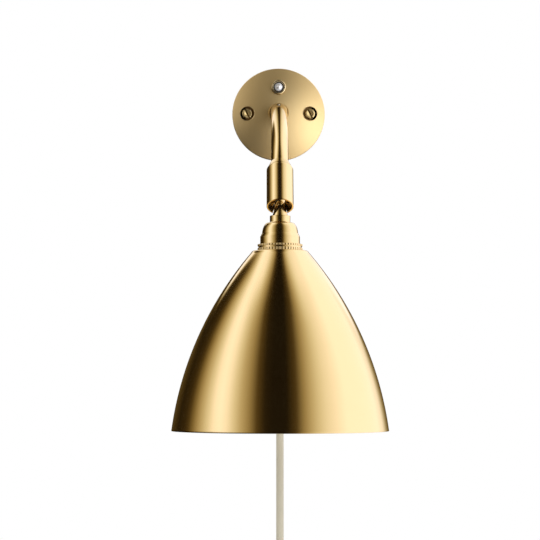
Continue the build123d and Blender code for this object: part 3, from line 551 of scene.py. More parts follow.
def circle(centre: Vector, across: Vector, up: Vector, radius: float, count: int) -> list[Vector]:
    """Places round a centre.

    Args:
        centre: The centre.
        across: The way to the first place.
        up: The way to the place a quarter of a turn on.
        radius: The radius.
        count: How many places.

    Returns:
        The places.
    """
    return [centre + (across * math.cos(a) + up * math.sin(a)) * radius
            for a in (2 * math.pi * n / count for n in range(count))]


def band(mesh: BMesh, low: Sequence[BMVert], high: Sequence[BMVert]) -> list[BMFace]:
    """Joins two rings of corners with faces. A ring of one corner is a point.

    Args:
        mesh: The mesh that both are in.
        low: The first ring.
        high: The second ring.

    Returns:
        The faces.
    """
    count = max(len(low), len(high))
    faces = []
    for step in range(count):
        after = (step + 1) % count
        corners = (low[step % len(low)], low[after % len(low)],
                   high[after % len(high)], high[step % len(high)])
        faces.append(mesh.faces.new(list(dict.fromkeys(corners))))
    return faces


def wrapped(mesh: BMesh, rings: Sequence[Sequence[BMVert]], runs: Sequence[float],
            across: float) -> None:
    """Joins rings with faces whose UV map is in metres along and around.

    Args:
        mesh: The mesh that the rings are in.
        rings: The rings in their order.
        runs: How far along each ring is.
        across: The width of one face.
    """
    layer = mesh.loops.layers.uv.new("UVMap")
    for low, high, start, end in zip(rings, rings[1:], runs, runs[1:]):
        for n, face in enumerate(band(mesh, low, high)):
            for loop, (u, v) in zip(face.loops, ((start, n), (start, n + 1), (end, n + 1), (end, n))):
                loop[layer].uv = (u, v * across)

def mesh_object(name: str, mesh: Mesh | BMesh, sharp: float = 32.0) -> Object:
    """Puts a mesh in the scene, smooth but for its sharp edges.

    Args:
        name: The piece's name.
        mesh: The mesh, or one still being edited.
        sharp: The angle in degrees past which an edge stays sharp.

    Returns:
        The piece.
    """
    if isinstance(mesh, BMesh):
        bmesh.ops.recalc_face_normals(mesh, faces=mesh.faces)
        made = bpy.data.meshes.new(name)
        mesh.to_mesh(made)
        mesh.free()
        mesh = made
    mesh.name = name
    mesh.shade_smooth()
    mesh.set_sharp_from_angle(angle=math.radians(sharp))
    piece = bpy.data.objects.new(name, mesh)
    bpy.context.scene.collection.objects.link(piece)
    return piece


def turn(
    outline: Sequence[Point], place: Place, closed: bool = False, segments: int = 160,
) -> BMesh:
    """Turns an outline about a piece's axis.

    Args:
        outline: Radius and height of each point, in millimetres.
        place: Where the axis is.
        closed: Whether the outline's end joins its start.
        segments: Faces around.

    Returns:
        The mesh, in metres.
    """
    mesh = bmesh.new()
    rings: list[list[BMVert]] = []
    for radius, height in outline:
        if radius < 1e-6:
            rings.append([mesh.verts.new((0.0, 0.0, height))])
            continue
        rings.append([
            mesh.verts.new((radius * math.cos(angle), radius * math.sin(angle), height))
            for angle in (2 * math.pi * step / segments for step in range(segments))
        ])
    for low, high in [*zip(rings, rings[1:]), *([(rings[-1], rings[0])] if closed else [])]:
        band(mesh, low, high)
    bmesh.ops.transform(mesh, matrix=place.matrix(), verts=mesh.verts)
    return mesh


def extruded(outline: Sequence[Point], low: float, high: float, matrix: Matrix) -> BMesh:
    """A closed outline in X and Y pulled along Z.

    Args:
        outline: Its corners in millimetres.
        low: Where it starts.
        high: Where it ends.
        matrix: From these millimetres to the lamp's metres.

    Returns:
        The mesh.
    """
    mesh = bmesh.new()
    loops = [[mesh.verts.new((x, y, z)) for x, y in outline] for z in (low, high)]
    mesh.faces.new(loops[0])
    mesh.faces.new(loops[1])
    band(mesh, *loops)
    bmesh.ops.recalc_face_normals(mesh, faces=mesh.faces)
    bmesh.ops.transform(mesh, matrix=matrix, verts=mesh.verts)
    return mesh


def applied(piece: Object) -> Mesh:
    """The piece's mesh with its modifiers in it, which are then removed."""
    view = bpy.context.evaluated_depsgraph_get()
    mesh = bpy.data.meshes.new_from_object(piece.evaluated_get(view))
    piece.modifiers.clear()
    return mesh


def cut(piece: Object, cutters: Iterable[BMesh], sharp: float = 32.0) -> Object:
    """Cuts shapes out of a piece.

    Args:
        piece: What is cut.
        cutters: The shapes that are taken away.
        sharp: The angle in degrees past which an edge stays sharp.

    Returns:
        The same piece.
    """
    for number, cutter in enumerate(cutters):
        tool = mesh_object(f"{piece.name}_cutter_{number}", cutter)
        modifier = piece.modifiers.new("cut", "BOOLEAN")
        modifier.operation, modifier.solver, modifier.object = "DIFFERENCE", "EXACT", tool
        piece.data = applied(piece)
        bpy.data.objects.remove(tool)
    piece.data.shade_smooth()
    piece.data.set_sharp_from_angle(angle=math.radians(sharp))
    return piece


def bevelled(
    piece: Object, width: float, segments: int = 3, angle: float = 40.0,
) -> Object:
    """Rounds a piece's sharp edges.

    Args:
        piece: What is rounded.
        width: The rounding in millimetres.
        segments: Faces across each rounded edge.
        angle: The angle in degrees past which an edge is rounded.

    Returns:
        The same piece.
    """
    modifier = piece.modifiers.new("edge", "BEVEL")
    modifier.width, modifier.segments = width * MM, segments
    modifier.limit_method, modifier.angle_limit = "ANGLE", math.radians(angle)
    modifier.harden_normals = True
    piece.data = applied(piece)
    return piece


def fitted(piece: Object, finish: Finish, body: Body, slot: str, *nodes: str) -> Object:
    """Dresses a piece, fixes it to its body and lets it stand for its solids.

    Args:
        piece: The finished piece.
        finish: Its finish.
        body: The body it rides on.
        slot: The record's material slot; not used.
        nodes: The solids that it stands for.

    Returns:
        The piece.
    """
    piece.data.materials.clear()
    piece.data.materials.append(material_of(finish))
    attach(piece, body.value)
    if nodes:
        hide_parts(*nodes)
    log.info("%s rides on %s", piece.name, body.value)
    return piece
def paint_shade(piece: Object, finish: Finish, inside: Callable[[Vector], bool]) -> None:
    """Paints shade as a dark second finish on the faces that lie in recesses, slots or bores.

    Args:
        piece: The piece, with its own finish on.
        finish: The dark finish that paints the shade.
        inside: Says from a face's centre, in millimetres, whether it is such a face.
    """
    piece.data.materials.append(material_of(finish))
    for face in piece.data.polygons:
        if inside(face.center / MM):
            face.material_index = 1


def merged(parts: Sequence[Mesh | BMesh]) -> BMesh:
    """Several closed shells in one mesh, in metres."""
    whole = bmesh.new()
    for part in parts:
        if isinstance(part, BMesh):
            bmesh.ops.recalc_face_normals(part, faces=part.faces)
            mesh = bpy.data.meshes.new("one_part")
            part.to_mesh(mesh)
            part.free()
            part = mesh
        whole.from_mesh(part)
    return whole


def joined(
    name: str, parts: Sequence[Mesh | BMesh], sharp: float = 32.0,
) -> Object:
    """One piece from several closed shells.

    Args:
        name: The piece's name.
        parts: The shells, in metres.
        sharp: The angle in degrees past which an edge stays sharp.

    Returns:
        The piece.
    """
    whole = merged(parts)
    made = bpy.data.meshes.new(name)
    whole.to_mesh(made)
    whole.free()
    return mesh_object(name, made, sharp)


def placed(mesh: Mesh, place: Place, lift: float = 0.0) -> Mesh:
    """Moves a mesh in local millimetres to its place in metres."""
    mesh.transform(place.matrix() @ Matrix.Translation((0.0, 0.0, lift)))
    return mesh


def rod(radius: float, low: float, high: float, place: Place, segments: int = 96) -> BMesh:
    """A plain closed cylinder, used as a cutter."""
    return turn([(0.0, low), (radius, low), (radius, high), (0.0, high)], place, segments=segments)


def shifted(place: Place, x: float, z: float) -> Place:
    """The same axis moved across the wall, in millimetres."""
    return Place((place.origin[0] + x, place.origin[1], place.origin[2] + z), place.axis)


# ---------------------------------------------------------------- patterns that repeat
class PatternTree:
    """A Geometry Nodes tree with named inputs, turned into a plain mesh."""

    def __init__(self, name: str, sizes: dict[str, float | int]) -> None:
        """Makes the empty tree.

        Args:
            name: The tree's name.
            sizes: Its named inputs and their values.
        """
        self.name = name
        self.sizes = sizes
        self.group = bpy.data.node_groups.new(name, "GeometryNodeTree")
        numbers = {label: "Int" if isinstance(value, int) else "Float" for label, value in sizes.items()}
        for label, kind in {"Geometry": "Geometry", **numbers, "Source": "Object",
                            "Material": "Material"}.items():
            self.group.interface.new_socket(label, in_out="INPUT", socket_type=f"NodeSocket{kind}")
        self.group.interface.new_socket("Geometry", in_out="OUTPUT", socket_type="NodeSocketGeometry")
        self.graph = Graph(self.group)
        self.entry = self.graph.node("NodeGroupInput")

    def given(self, label: str) -> Wire:
        """One of the tree's inputs."""
        return Wire(self.graph, self.entry.outputs[label])

    def close(self, shape: Wire) -> None:
        """Ends the tree with Realize Instances and Set Material."""
        plain = self.graph.wire("GeometryNodeRealizeInstances", inputs={0: shape})
        dressed = self.graph.wire("GeometryNodeSetMaterial", inputs={
            "Geometry": plain, "Material": self.given("Material")})
        self.graph.node("NodeGroupOutput", inputs={0: dressed})

    def mesh(self, finish: Finish, source: Object | None = None) -> Mesh:
        """Evaluates the tree.

        Args:
            finish: The finish its pieces take.
            source: The object that the tree repeats, where it has one.

        Returns:
            The plain mesh.
        """
        carrier = bpy.data.objects.new(self.name, bpy.data.meshes.new(self.name))
        bpy.context.scene.collection.objects.link(carrier)
        modifier = carrier.modifiers.new(self.name, "NODES")
        modifier.node_group = self.group
        values: dict[str, object] = {**self.sizes, "Material": material_of(finish), "Source": source}
        for item in self.group.interface.items_tree:
            if item.in_out == "INPUT" and item.name in values and values[item.name] is not None:
                modifier[item.identifier] = values[item.name]
        mesh = applied(carrier)
        bpy.data.objects.remove(carrier)
        return mesh


class ToothRing(PatternTree):
    """Rounded teeth on a circle, as on a knurled ring."""

    def __init__(
        self, name: str, radius: float, teeth: int, height: float, depth: float, width: float,
    ) -> None:
        """Builds the tree.

        Args:
            name: The tree's name.
            radius: The circle on which the teeth are centred, in millimetres.
            teeth: How many teeth.
            height: How tall each is.
            depth: How far each stands out.
            width: How wide each is.
        """
        super().__init__(name, {"Radius": radius, "Teeth": teeth, "Height": height, "Depth": depth,
                                "Width": width})
        graph = self.graph
        points = graph.wire("GeometryNodeMeshCircle", {"fill_type": "NONE"}, {
            "Vertices": self.given("Teeth"), "Radius": self.given("Radius")})
        where = graph.wire("GeometryNodeInputPosition")
        tooth = graph.wire("GeometryNodeMeshCylinder", {"fill_type": "NGON"}, {
            "Vertices": 10, "Side Segments": 1, "Radius": 1.0, "Depth": self.given("Height")})
        facing = graph.wire("FunctionNodeAlignRotationToVector", {"axis": "X"}, {"Vector": where})
        scale = graph.vector(self.given("Depth"), self.given("Width") * 0.5, 1.0)
        self.close(graph.wire("GeometryNodeInstanceOnPoints", inputs={
            "Points": points, "Instance": tooth, "Rotation": facing, "Scale": scale}))


class Thread(PatternTree):
    """A screw thread's ridge: a small profile swept along a helix."""

    def __init__(self, name: str, radius: float, pitch: float, turns: float, ridge: float) -> None:
        """Builds the tree.

        Args:
            name: The tree's name.
            radius: The helix's radius in millimetres.
            pitch: Its rise in each turn.
            turns: How many turns.
            ridge: The profile's radius.
        """
        super().__init__(name, {"Radius": radius, "Rise": pitch * turns, "Turns": turns, "Ridge": ridge,
                                "Steps": int(turns * 40)})
        graph = self.graph
        helix = graph.wire("GeometryNodeCurveSpiral", inputs={
            "Resolution": 40, "Rotations": self.given("Turns"), "Start Radius": self.given("Radius"),
            "End Radius": self.given("Radius"), "Height": self.given("Rise")})
        even = graph.wire("GeometryNodeResampleCurve", inputs={"Curve": helix, "Count": self.given("Steps")})
        ridge_profile = graph.wire("GeometryNodeCurvePrimitiveCircle", inputs={
            "Resolution": 6, "Radius": self.given("Ridge")})
        self.close(graph.wire("GeometryNodeCurveToMesh", inputs={
            "Curve": even, "Profile Curve": ridge_profile, "Fill Caps": True}))


class PairRow(PatternTree):
    """The same piece repeated on a line, centred on the origin."""

    def __init__(self, name: str, count: int, spacing: float) -> None:
        """Builds the tree.

        Args:
            name: The tree's name.
            count: How many pieces.
            spacing: The distance between them along X, in metres.
        """
        super().__init__(name, {"Count": count, "Spacing": spacing})
        graph = self.graph
        begin = graph.vector(self.given("Spacing") * (self.given("Count") - 1.0) * -0.5)
        line = graph.wire("GeometryNodeMeshLine", {"mode": "OFFSET"}, {
            "Count": self.given("Count"), "Start Location": begin,
            "Offset": graph.vector(self.given("Spacing"))})
        source = graph.wire("GeometryNodeObjectInfo", inputs={"Object": self.given("Source")},
                            output="Geometry")
        self.close(graph.wire("GeometryNodeInstanceOnPoints", inputs={"Points": line, "Instance": source}))

# ---------------------------------------------------------------- the lamp's sub-assemblies


@dataclass
class WallPlate:
    """The domed plate with its arm hole, screw recesses, switch seat and cord notch."""

    radius: float = 37.5
    edge_height: float = 4.0
    depth: float = 12.0
    wall: float = 2.0
    hole_radius: float = 7.5
    hole_chamfer: Point = (0.6, 0.45)
    recess_radius: float = 5.8
    recess_height: float = 5.8
    screw_spacing: float = 50.8
    screw_hole_radius: float = 2.15
    switch_height: float = 21.0
    switch_seat: float = 8.9
    switch_seat_radius: float = 6.1
    switch_hole_radius: float = 4.3
    notch: Triple = (1.0, 3.6, 4.2)
    notch_run: Point = (-60.0, -27.0)
    boss_radius: float = 4.5
    boss_foot: float = 1.5
    lip_out: float = 0.12
    lip_radius: float = 0.22
    clear: float = 30.0

    @property
    def screw_places(self) -> list[Place]:
        """Where the two screws stand."""
        return [shifted(ROOMWARD, side * self.screw_spacing / 2, 0.0) for side in (-1, 1)]

    @property
    def switch_place(self) -> Place:
        """Where the switch stands."""
        return shifted(ROOMWARD, 0.0, self.switch_height)
    def dome(self, radius: float, inset: float = 0.0) -> float:
        """Height of the dome, or of its inside, at a radius."""
        rise = self.depth - self.edge_height
        ball = (self.radius**2 + rise**2) / (2 * rise)
        return self.depth - ball + math.sqrt((ball - inset) ** 2 - radius**2)

    def shell(self) -> Object:
        """Turns the hollow dome with its chamfered arm hole."""
        rim = self.hole_radius + self.hole_chamfer[0]
        inner = self.radius - self.wall
        over = [rim + (self.radius - rim) * step / 40 for step in range(1, 40)]
        under = [inner + (self.hole_radius - inner) * step / 20 for step in range(20)]
        corners: list[tuple[float, ...]] = [
            (self.hole_radius, self.dome(rim) - self.hole_chamfer[1], 0.15),
            (rim, self.dome(rim), 0.12), *[(radius, self.dome(radius)) for radius in over],
            (self.radius, self.edge_height, 1.0), (self.radius, 0.0, 0.2), (inner, 0.0, 0.2),
            *[(radius, self.dome(radius, self.wall)) for radius in under],
            (self.hole_radius, self.dome(self.hole_radius, self.wall)),
        ]
        return mesh_object("plate_dome", turn(rounded(corners, 5, True), ROOMWARD, True, 256))

    def bosses(self) -> list[BMesh]:
        """Seats behind the screw recesses and the switch, inside the dome."""
        floor = self.recess_height - self.wall
        outer = self.recess_radius + 0.4
        outline = rounded([
            (self.screw_hole_radius, self.recess_height), (outer, self.recess_height), (outer, floor, 0.3),
            (self.boss_radius, floor, 0.3), (self.boss_radius, self.boss_foot, 0.2),
            (self.screw_hole_radius, self.boss_foot),
        ], 4, True)
        seats = [turn(outline, place, True, 64) for place in self.screw_places]
        floor, outer = self.switch_seat - self.wall, self.switch_seat_radius + 0.2
        seats.append(turn([
            (self.switch_hole_radius, self.switch_seat), (outer, self.switch_seat), (outer, floor),
            (self.switch_hole_radius, floor),
        ], self.switch_place, True, 64))
        return seats

    def build(self) -> None:
        """Builds and fits the plate."""
        plate = self.shell()
        seats = [(self.recess_radius, self.recess_height, place) for place in self.screw_places]
        seats.append((self.switch_seat_radius, self.switch_seat, self.switch_place))
        cutters = [rod(radius, seat, self.clear, place, 128) for radius, seat, place in seats]
        cutters.append(extruded(arch(*self.notch, 1.0), *self.notch_run, METRES))
        cut(plate, cutters)
        lips = [self.lip(place, self.recess_radius) for place in self.screw_places]
        whole = joined("wall_plate_dressed", [plate.data, *self.bosses(), *lips])
        bpy.data.objects.remove(plate)
        fitted(whole, PLATE_BRASS, Body.FIXTURE, "plate_brass", "wall_plate")

        def sunk(place: Vector) -> bool:
            """Whether a place is in a recess or on the arm hole's wall."""
            across = min(math.hypot(place.x - seat.origin[0], place.z) for seat in self.screw_places)
            level = self.dome(min(math.hypot(place.x, place.z), self.radius - 0.5)) + place.y
            in_hole = math.hypot(place.x, place.z) < self.hole_radius + 0.05
            return level > 0.3 and (across < self.recess_radius + 0.05 or in_hole) and place.y < -1.0

        # The screw recesses and the arm hole's wall get painted shade.
        paint_shade(whole, RECESS_PAINTED_SHADE, sunk)

    def lip(self, place: Place, radius: float) -> BMesh:
        """The bright rounded lip round a recess, which follows the dome.

        Args:
            place: The recess's place.
            radius: Its radius.

        Returns:
            The lip as a closed ring.
        """
        mesh = bmesh.new()
        rings = []
        segments, around = 96, 8
        for step in range(segments):
            angle = 2 * math.pi * step / segments
            ring = []
            for corner in range(around):
                swing = 2 * math.pi * corner / around
                reach = radius + self.lip_out + self.lip_radius * math.cos(swing)
                x = place.origin[0] + reach * math.cos(angle)
                z = place.origin[2] + reach * math.sin(angle)
                height = self.dome(math.hypot(x, z)) + self.lip_radius * math.sin(swing) - self.lip_out
                ring.append(mesh.verts.new((x * MM, -height * MM, z * MM)))
            rings.append(ring)
        for low, high in zip(rings, rings[1:] + rings[:1]):
            band(mesh, low, high)
        return mesh


@dataclass
class FixingScrews:
    """Two slotted pan-head screws with threaded shanks."""

    spacing: float = 50.8
    head_radius: float = 4.0
    head_height: float = 2.4
    seat: float = 5.8
    shank_radius: float = 2.0
    length: float = 25.0
    plain_radius: float = 1.7
    thread_start: float = -0.3
    slot_width: float = 1.3
    slot_depth: float = 1.1
    slot_angle: float = -63.0
    pitch: float = 0.7

    def build(self) -> None:
        """Builds one screw and repeats it."""
        top = self.seat + self.head_height
        end = self.seat - self.length
        core = self.shank_radius - 0.3
        outline = rounded([
            (0.0, top), (self.head_radius, top, 0.8), (self.head_radius, self.seat, 0.15),
            (self.plain_radius, self.seat, 0.1), (self.plain_radius, self.thread_start, 0.2),
            (core, self.thread_start - 0.1), (core, end + 0.8, 0.3), (core * 0.6, end, 0.2), (0.0, end),
        ], 6)
        screw = mesh_object("one_screw", turn(outline, ROOMWARD, segments=96))
        half = self.slot_width / 2
        turned = FACING @ Matrix.Rotation(math.radians(self.slot_angle), 4, "Z")
        bar = rectangle(-6.0, -half, 6.0, half)
        cut(screw, [extruded(bar, top - self.slot_depth, top + 2.0, turned)])
        bevelled(screw, 0.08, 2)
        turns = (self.thread_start - end - 1.6) / self.pitch
        ridge = Thread("screw_thread", self.shank_radius - 0.27, self.pitch, turns, 0.26).mesh(SCREW_BRASS)
        whole = joined("screw_with_thread", [screw.data, placed(ridge, ROOMWARD, end + 1.0)])
        row = PairRow("screw_pair", 2, self.spacing * MM).mesh(SCREW_BRASS, whole)
        for used in (screw, whole):
            bpy.data.objects.remove(used)
        screws = mesh_object("plate_screws", row)
        fitted(screws, SCREW_BRASS, Body.FIXTURE, "screw_brass", "fixing_screws")
        lean = math.radians(self.slot_angle)

        def in_slot(place: Vector) -> bool:
            """Whether a place is inside a screw's slot."""
            x = place.x - math.copysign(self.spacing / 2, place.x)
            off = abs(x * math.sin(lean) - place.z * math.cos(lean))
            aside = abs(x * math.sin(lean) + place.z * math.cos(lean))
            sunk = top - self.slot_depth - 0.05 < -place.y < top - 0.12
            return sunk and min(off, aside) < half + 0.03 and math.hypot(x, place.z) < self.head_radius - 0.05

        # The bottoms of the screw slots get painted shade.
        paint_shade(screws, RECESS_PAINTED_SHADE, in_slot)


@dataclass
class PushSwitch:
    """The bezel nut and the domed push button."""

    height: float = 21.0
    seat: float = 8.9
    bezel_radius: float = 5.8
    bezel_inner: float = 4.3
    bezel_thickness: float = 3.0
    button_radius: float = 3.1
    proud: float = 2.8
    travel: float = 2.0
    spring_wire: float = 0.5
    spring_turns: int = 4

    def spring(self) -> None:
        """Builds the return spring, which in the real switch shortens as the button goes in."""
        near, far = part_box("switch_spring")
        length = (far.y - near.y) / MM
        rise = length - self.spring_wire
        coil = Thread("switch_spring_coil", self.button_radius - self.spring_wire, rise / self.spring_turns,
                      self.spring_turns, self.spring_wire / 2)
        place = shifted(ROOMWARD, 0.0, self.height)
        mesh = placed(coil.mesh(STEEL), place, -far.y / MM + self.spring_wire / 2)
        spring = mesh_object("switch_spring_coiled", mesh, 60.0)
        fitted(spring, STEEL, Body.FIXTURE, "steel", "switch_spring")
        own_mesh(spring)

    def build(self) -> None:
        """Builds the bezel, the button and its spring."""
        self.spring()
        place = shifted(ROOMWARD, 0.0, self.height)
        front = self.seat + self.bezel_thickness
        bezel = turn(rounded([
            (self.bezel_inner, self.seat + 0.1), (self.bezel_inner, front - 0.25, 0.0),
            (self.bezel_inner + 0.25, front, 0.1), (self.bezel_radius, front, 0.75),
            (self.bezel_radius, self.seat, 0.15), (self.bezel_inner, self.seat, 0.0),
        ], 6, True), place, True, 128)
        fitted(mesh_object("switch_bezel_ring", bezel), BEZEL_BRASS, Body.FIXTURE, "bezel_brass",
               "switch_bezel")
        back = -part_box("switch_button")[1].y / MM
        top = front + self.proud
        side = top - self.button_radius / 2
        crown = arc((self.button_radius, side), (0.0, top), self.button_radius * 1.25, 16, 1)
        outline = [(0.0, back), (self.button_radius - 0.1, back), (self.button_radius, back + 0.1),
                   (self.button_radius, side - 0.05), (self.button_radius, side), *crown, (0.0, top)]
        button = mesh_object("push_button", turn(outline, place, segments=96), 50.0)
        fitted(button, CHROME, Body.BUTTON, "button_chrome", "switch_button")


@dataclass
class Arm:
    """The bent brass tube."""

    radius: float = 6.5
    wall: float = 1.2
    straight: float = 13.0
    bend_radius: float = 106.0
    bend_angle: float = 60.0
    insert: float = 8.0
    back: float = 1.5
    slot_width: float = 5.0
    slot_reach: float = 8.5
    slot_start: float = 1.0
    slot_end: float = 8.5
    segments: int = 96

    def line(self) -> list[tuple[Vector, Vector]]:
        """Points of the tube's centreline in millimetres, each with the way it runs."""
        steps = [(Vector((0.0, -self.back - (self.straight - self.back) * n / 6, 0.0)),
                  Vector((0.0, -1.0, 0.0))) for n in range(6)]
        count = 72
        for number in range(count + 1):
            angle = math.radians(self.bend_angle * number / count)
            steps.append((
                Vector((0.0, -self.straight - self.bend_radius * math.sin(angle),
                        -self.bend_radius * (1 - math.cos(angle)))),
                Vector((0.0, -math.cos(angle), -math.sin(angle)))))
        last, way = steps[-1]
        steps += [(last + way * (self.insert * n / 3), way) for n in (1, 2, 3)]
        return steps

    def build(self) -> None:
        """Builds the tube as one closed wall, with the slot where the leads come in."""
        mesh = bmesh.new()
        across = Vector((1.0, 0.0, 0.0))
        outer, inner = (
            [[mesh.verts.new(place * MM) for place in circle(centre, across, way.cross(across), radius,
                                                             self.segments)]
             for centre, way in self.line()]
            for radius in (self.radius, self.radius - self.wall))
        rows = [*zip(outer, outer[1:]), *zip(inner, inner[1:]), (outer[0], inner[0]), (outer[-1], inner[-1])]
        for low, high in rows:
            band(mesh, low, high)
        tube = mesh_object("arm_tube_bent", mesh)
        half = self.slot_width / 2
        bar = rectangle(-half, -self.slot_reach, half, 0.0)
        cut(tube, [extruded(bar, self.slot_start, self.slot_end, FACING)])
        fitted(tube, ARM_BRASS, Body.FIXTURE, "arm_brass", "arm_tube")


@dataclass
class BallJoint:
    """The slotted sleeve and the ball with its coned stem."""

    arm_radius: float = 6.5
    radius: float = 10.0
    bore: float = 8.8
    length: float = 40.0
    shoulder: float = 7.0
    insert: float = 8.0
    ball_depth: float = 30.2
    ball_radius: float = 7.0
    slot_width: float = 10.7
    slot_drop: float = 9.4
    slot_foot: float = 60.0
    slot_reach: float = 20.0
    stem_bore: float = 2.4
    neck: float = 3.6
    cone_top: float = 7.0
    cone_bottom: float = 14.8
    cone_radius: float = 5.6
    shank_radius: float = 5.0
    shank_length: float = 11.7
    saw_width: float = 1.3
    saw_angle: float = 36.5
    saw_length: float = 13.0
    saw_offset: float = -2.2
    saw_drop: float = 10.6
    saw_reach: float = 9.0

    def sleeve(self) -> None:
        """Builds the sleeve: coned shoulder, bore and the slot towards the wall."""
        wall = self.radius - self.bore
        outline = rounded([
            (self.arm_radius, 0.0), (self.arm_radius + wall / 2, 0.0, 0.2),
            (self.radius - wall, self.shoulder * 0.6, 0.6),
            (self.radius, self.shoulder * 0.92, 1.8),
            (self.radius, self.length, 0.25), (self.bore, self.length, 0.2),
            (self.bore, self.insert + wall), (self.arm_radius, self.insert + wall),
        ], 6, True)
        sleeve = mesh_object("joint_sleeve_slotted", turn(outline, SLEEVE, True, 192))
        half = self.slot_width / 2
        top = self.ball_depth + self.slot_drop
        keyhole = [(half * math.cos(math.pi * n / 32), top - half * math.sin(math.pi * n / 32))
                   for n in range(33)] + [(-half, self.slot_foot), (half, self.slot_foot)]
        down = Vector(SLEEVE.axis)
        wallward = Vector((0.0, 0.8660254, -0.5))
        local = Matrix((
            (1.0, down.x, wallward.x, SLEEVE.origin[0]), (0.0, down.y, wallward.y, SLEEVE.origin[1]),
            (0.0, down.z, wallward.z, SLEEVE.origin[2]), (0.0, 0.0, 0.0, 1.0)))
        cut(sleeve, [extruded(keyhole, 0.0, self.slot_reach, METRES @ local)])
        fitted(sleeve, SLEEVE_BRASS, Body.FIXTURE, "joint_brass", "joint_sleeve")
        start = Vector(SLEEVE.origin)

        def inside(place: Vector) -> bool:
            """Whether a place is on the sleeve's bore."""
            depth = (place - start).dot(down)
            in_bore = (place - start - down * depth).length < self.bore + 0.05
            return in_bore and self.insert < depth < self.length - 0.1

        # The sleeve's bore gets painted shade.
        paint_shade(sleeve, BORE_PAINTED_SHADE, inside)

    def stem(self) -> None:
        """Builds the ball and its stem, with the slanting saw cut."""
        top = math.sqrt(self.ball_radius**2 - self.stem_bore**2)
        low = -math.sqrt(self.ball_radius**2 - self.neck**2)
        bottom = -self.cone_bottom - self.shank_length
        first, last = math.atan2(top, self.stem_bore), math.atan2(low, self.neck)
        ball = [(self.ball_radius * math.cos(a), self.ball_radius * math.sin(a))
                for a in (first + (last - first) * n / 40 for n in range(41))]
        rest = rounded([
            ball[-1], (self.neck, -self.cone_top, 0.3), (self.cone_radius, -self.cone_bottom, 0.12),
            (self.shank_radius, -self.cone_bottom), (self.shank_radius, bottom, 0.3),
            (self.stem_bore, bottom, 0.1), ball[0],
        ], 5)
        stem = mesh_object("ball_stem_turned", turn(ball + rest[1:-1], HEAD, True, 128))
        half, long = self.saw_width / 2, self.saw_length / 2
        front = HEAD.matrix() @ Matrix.Rotation(math.radians(90.0), 4, "X") @ Matrix.Translation(
            (self.saw_offset, -self.saw_drop, 0.0)) @ Matrix.Rotation(math.radians(-self.saw_angle), 4, "Z")
        reach = self.saw_reach
        slab = mesh_object("saw_bar", extruded(rectangle(-half, -long, half, long), 0.0, reach, front))
        cone = mesh_object("cone_slab", extruded(
            rectangle(-reach, -reach, reach, reach), -self.cone_bottom, -self.cone_top, HEAD.matrix()))
        keep = slab.modifiers.new("keep", "BOOLEAN")
        keep.operation, keep.solver, keep.object = "INTERSECT", "EXACT", cone
        cutter = bmesh.new()
        cutter.from_mesh(applied(slab))
        bpy.data.objects.remove(slab)
        bpy.data.objects.remove(cone)
        cut(stem, [cutter])
        fitted(stem, STEM_BRASS, Body.STEM, "joint_brass", "ball_stem")

    def build(self) -> None:
        """Builds both."""
        self.sleeve()
        self.stem()


@dataclass
class LampholderCap:
    """The domed cap above the shade and the knurled rings that clamp it."""

    top: float = 14.85
    neck_radius: float = 7.6
    neck_bottom: float = 19.85
    dome_radius: float = 13.4
    dome_bottom: float = 27.95
    radius: float = 14.7
    step_bottom: float = 30.55
    bottom: float = 36.05
    wall: float = 1.0
    bore: float = 5.05
    holder_radius: float = 13.9
    holder_top: float = 31.05
    ring_radius: float = 16.65
    ring_height: float = 5.0
    groove_radius: float = 16.0
    groove_top: float = 1.6
    groove_height: float = 1.1
    teeth: int = 48
    tooth_depth: float = 0.45
    dome_curve: tuple[Point, ...] = ((2.6, 0.55), (3.9, 1.9), (4.9, 3.9), (5.5, 6.2))

    def cap(self) -> None:
        """Builds the cap."""
        smooth = catmull([
            (self.neck_radius, -self.neck_bottom),
            *[(self.neck_radius + out, -self.neck_bottom - down) for out, down in self.dome_curve],
            (self.dome_radius, -self.dome_bottom)], 8)
        outline = rounded([
            (self.bore, -self.neck_bottom - self.wall), (self.bore, -self.top, 0.1),
            (self.neck_radius, -self.top, 0.35), (self.neck_radius, -self.neck_bottom + 0.3),
            *smooth[1:-1],
            (self.dome_radius, -self.dome_bottom, 0.2), (self.radius, -self.step_bottom, 0.5),
            (self.radius, -self.bottom, 0.2), (self.holder_radius, -self.bottom),
            (self.holder_radius, -self.holder_top),
            (self.dome_radius - self.wall, -self.holder_top),
            (self.dome_radius - self.wall, -self.dome_bottom + self.wall, 0.6),
            (self.neck_radius, -self.neck_bottom - self.wall),
        ], 6, True)
        cap = mesh_object("lampholder_cap", turn(outline, HEAD, True, 192))
        fitted(cap, CAP_BRASS, Body.HEAD, "cap_brass", "holder_cap")

    def rings(self) -> None:
        """Builds the double knurled ring."""
        top = -self.bottom - 0.02
        low = -self.bottom - self.ring_height
        groove = top - self.groove_top
        groove_end = groove - self.groove_height
        core = self.ring_radius - self.tooth_depth * 0.75
        outline = rounded([
            (self.holder_radius, top), (core, top, 0.3), (core, groove, 0.2),
            (self.groove_radius, groove, 0.05), (self.groove_radius, groove_end, 0.05),
            (core, groove_end, 0.2), (core, low, 0.25), (self.holder_radius, low),
        ], 4, True)
        parts: list[Mesh | BMesh] = [turn(outline, HEAD, True, 192)]
        width = 2 * math.pi * core / self.teeth * 0.62
        for high, bottom in ((top, groove), (groove_end, low)):
            height = high - bottom - 0.3
            teeth = ToothRing("knurl_teeth", core, self.teeth, height, self.tooth_depth * 0.75, width)
            parts.append(placed(teeth.mesh(RING_BRASS), HEAD, (high + bottom) / 2))
        fitted(joined("shade_ring_knurled", parts, 50.0), RING_BRASS, Body.HEAD, "ring_brass",
               "shade_ring_upper")

    def build(self) -> None:
        """Builds both."""
        self.cap()
        self.rings()


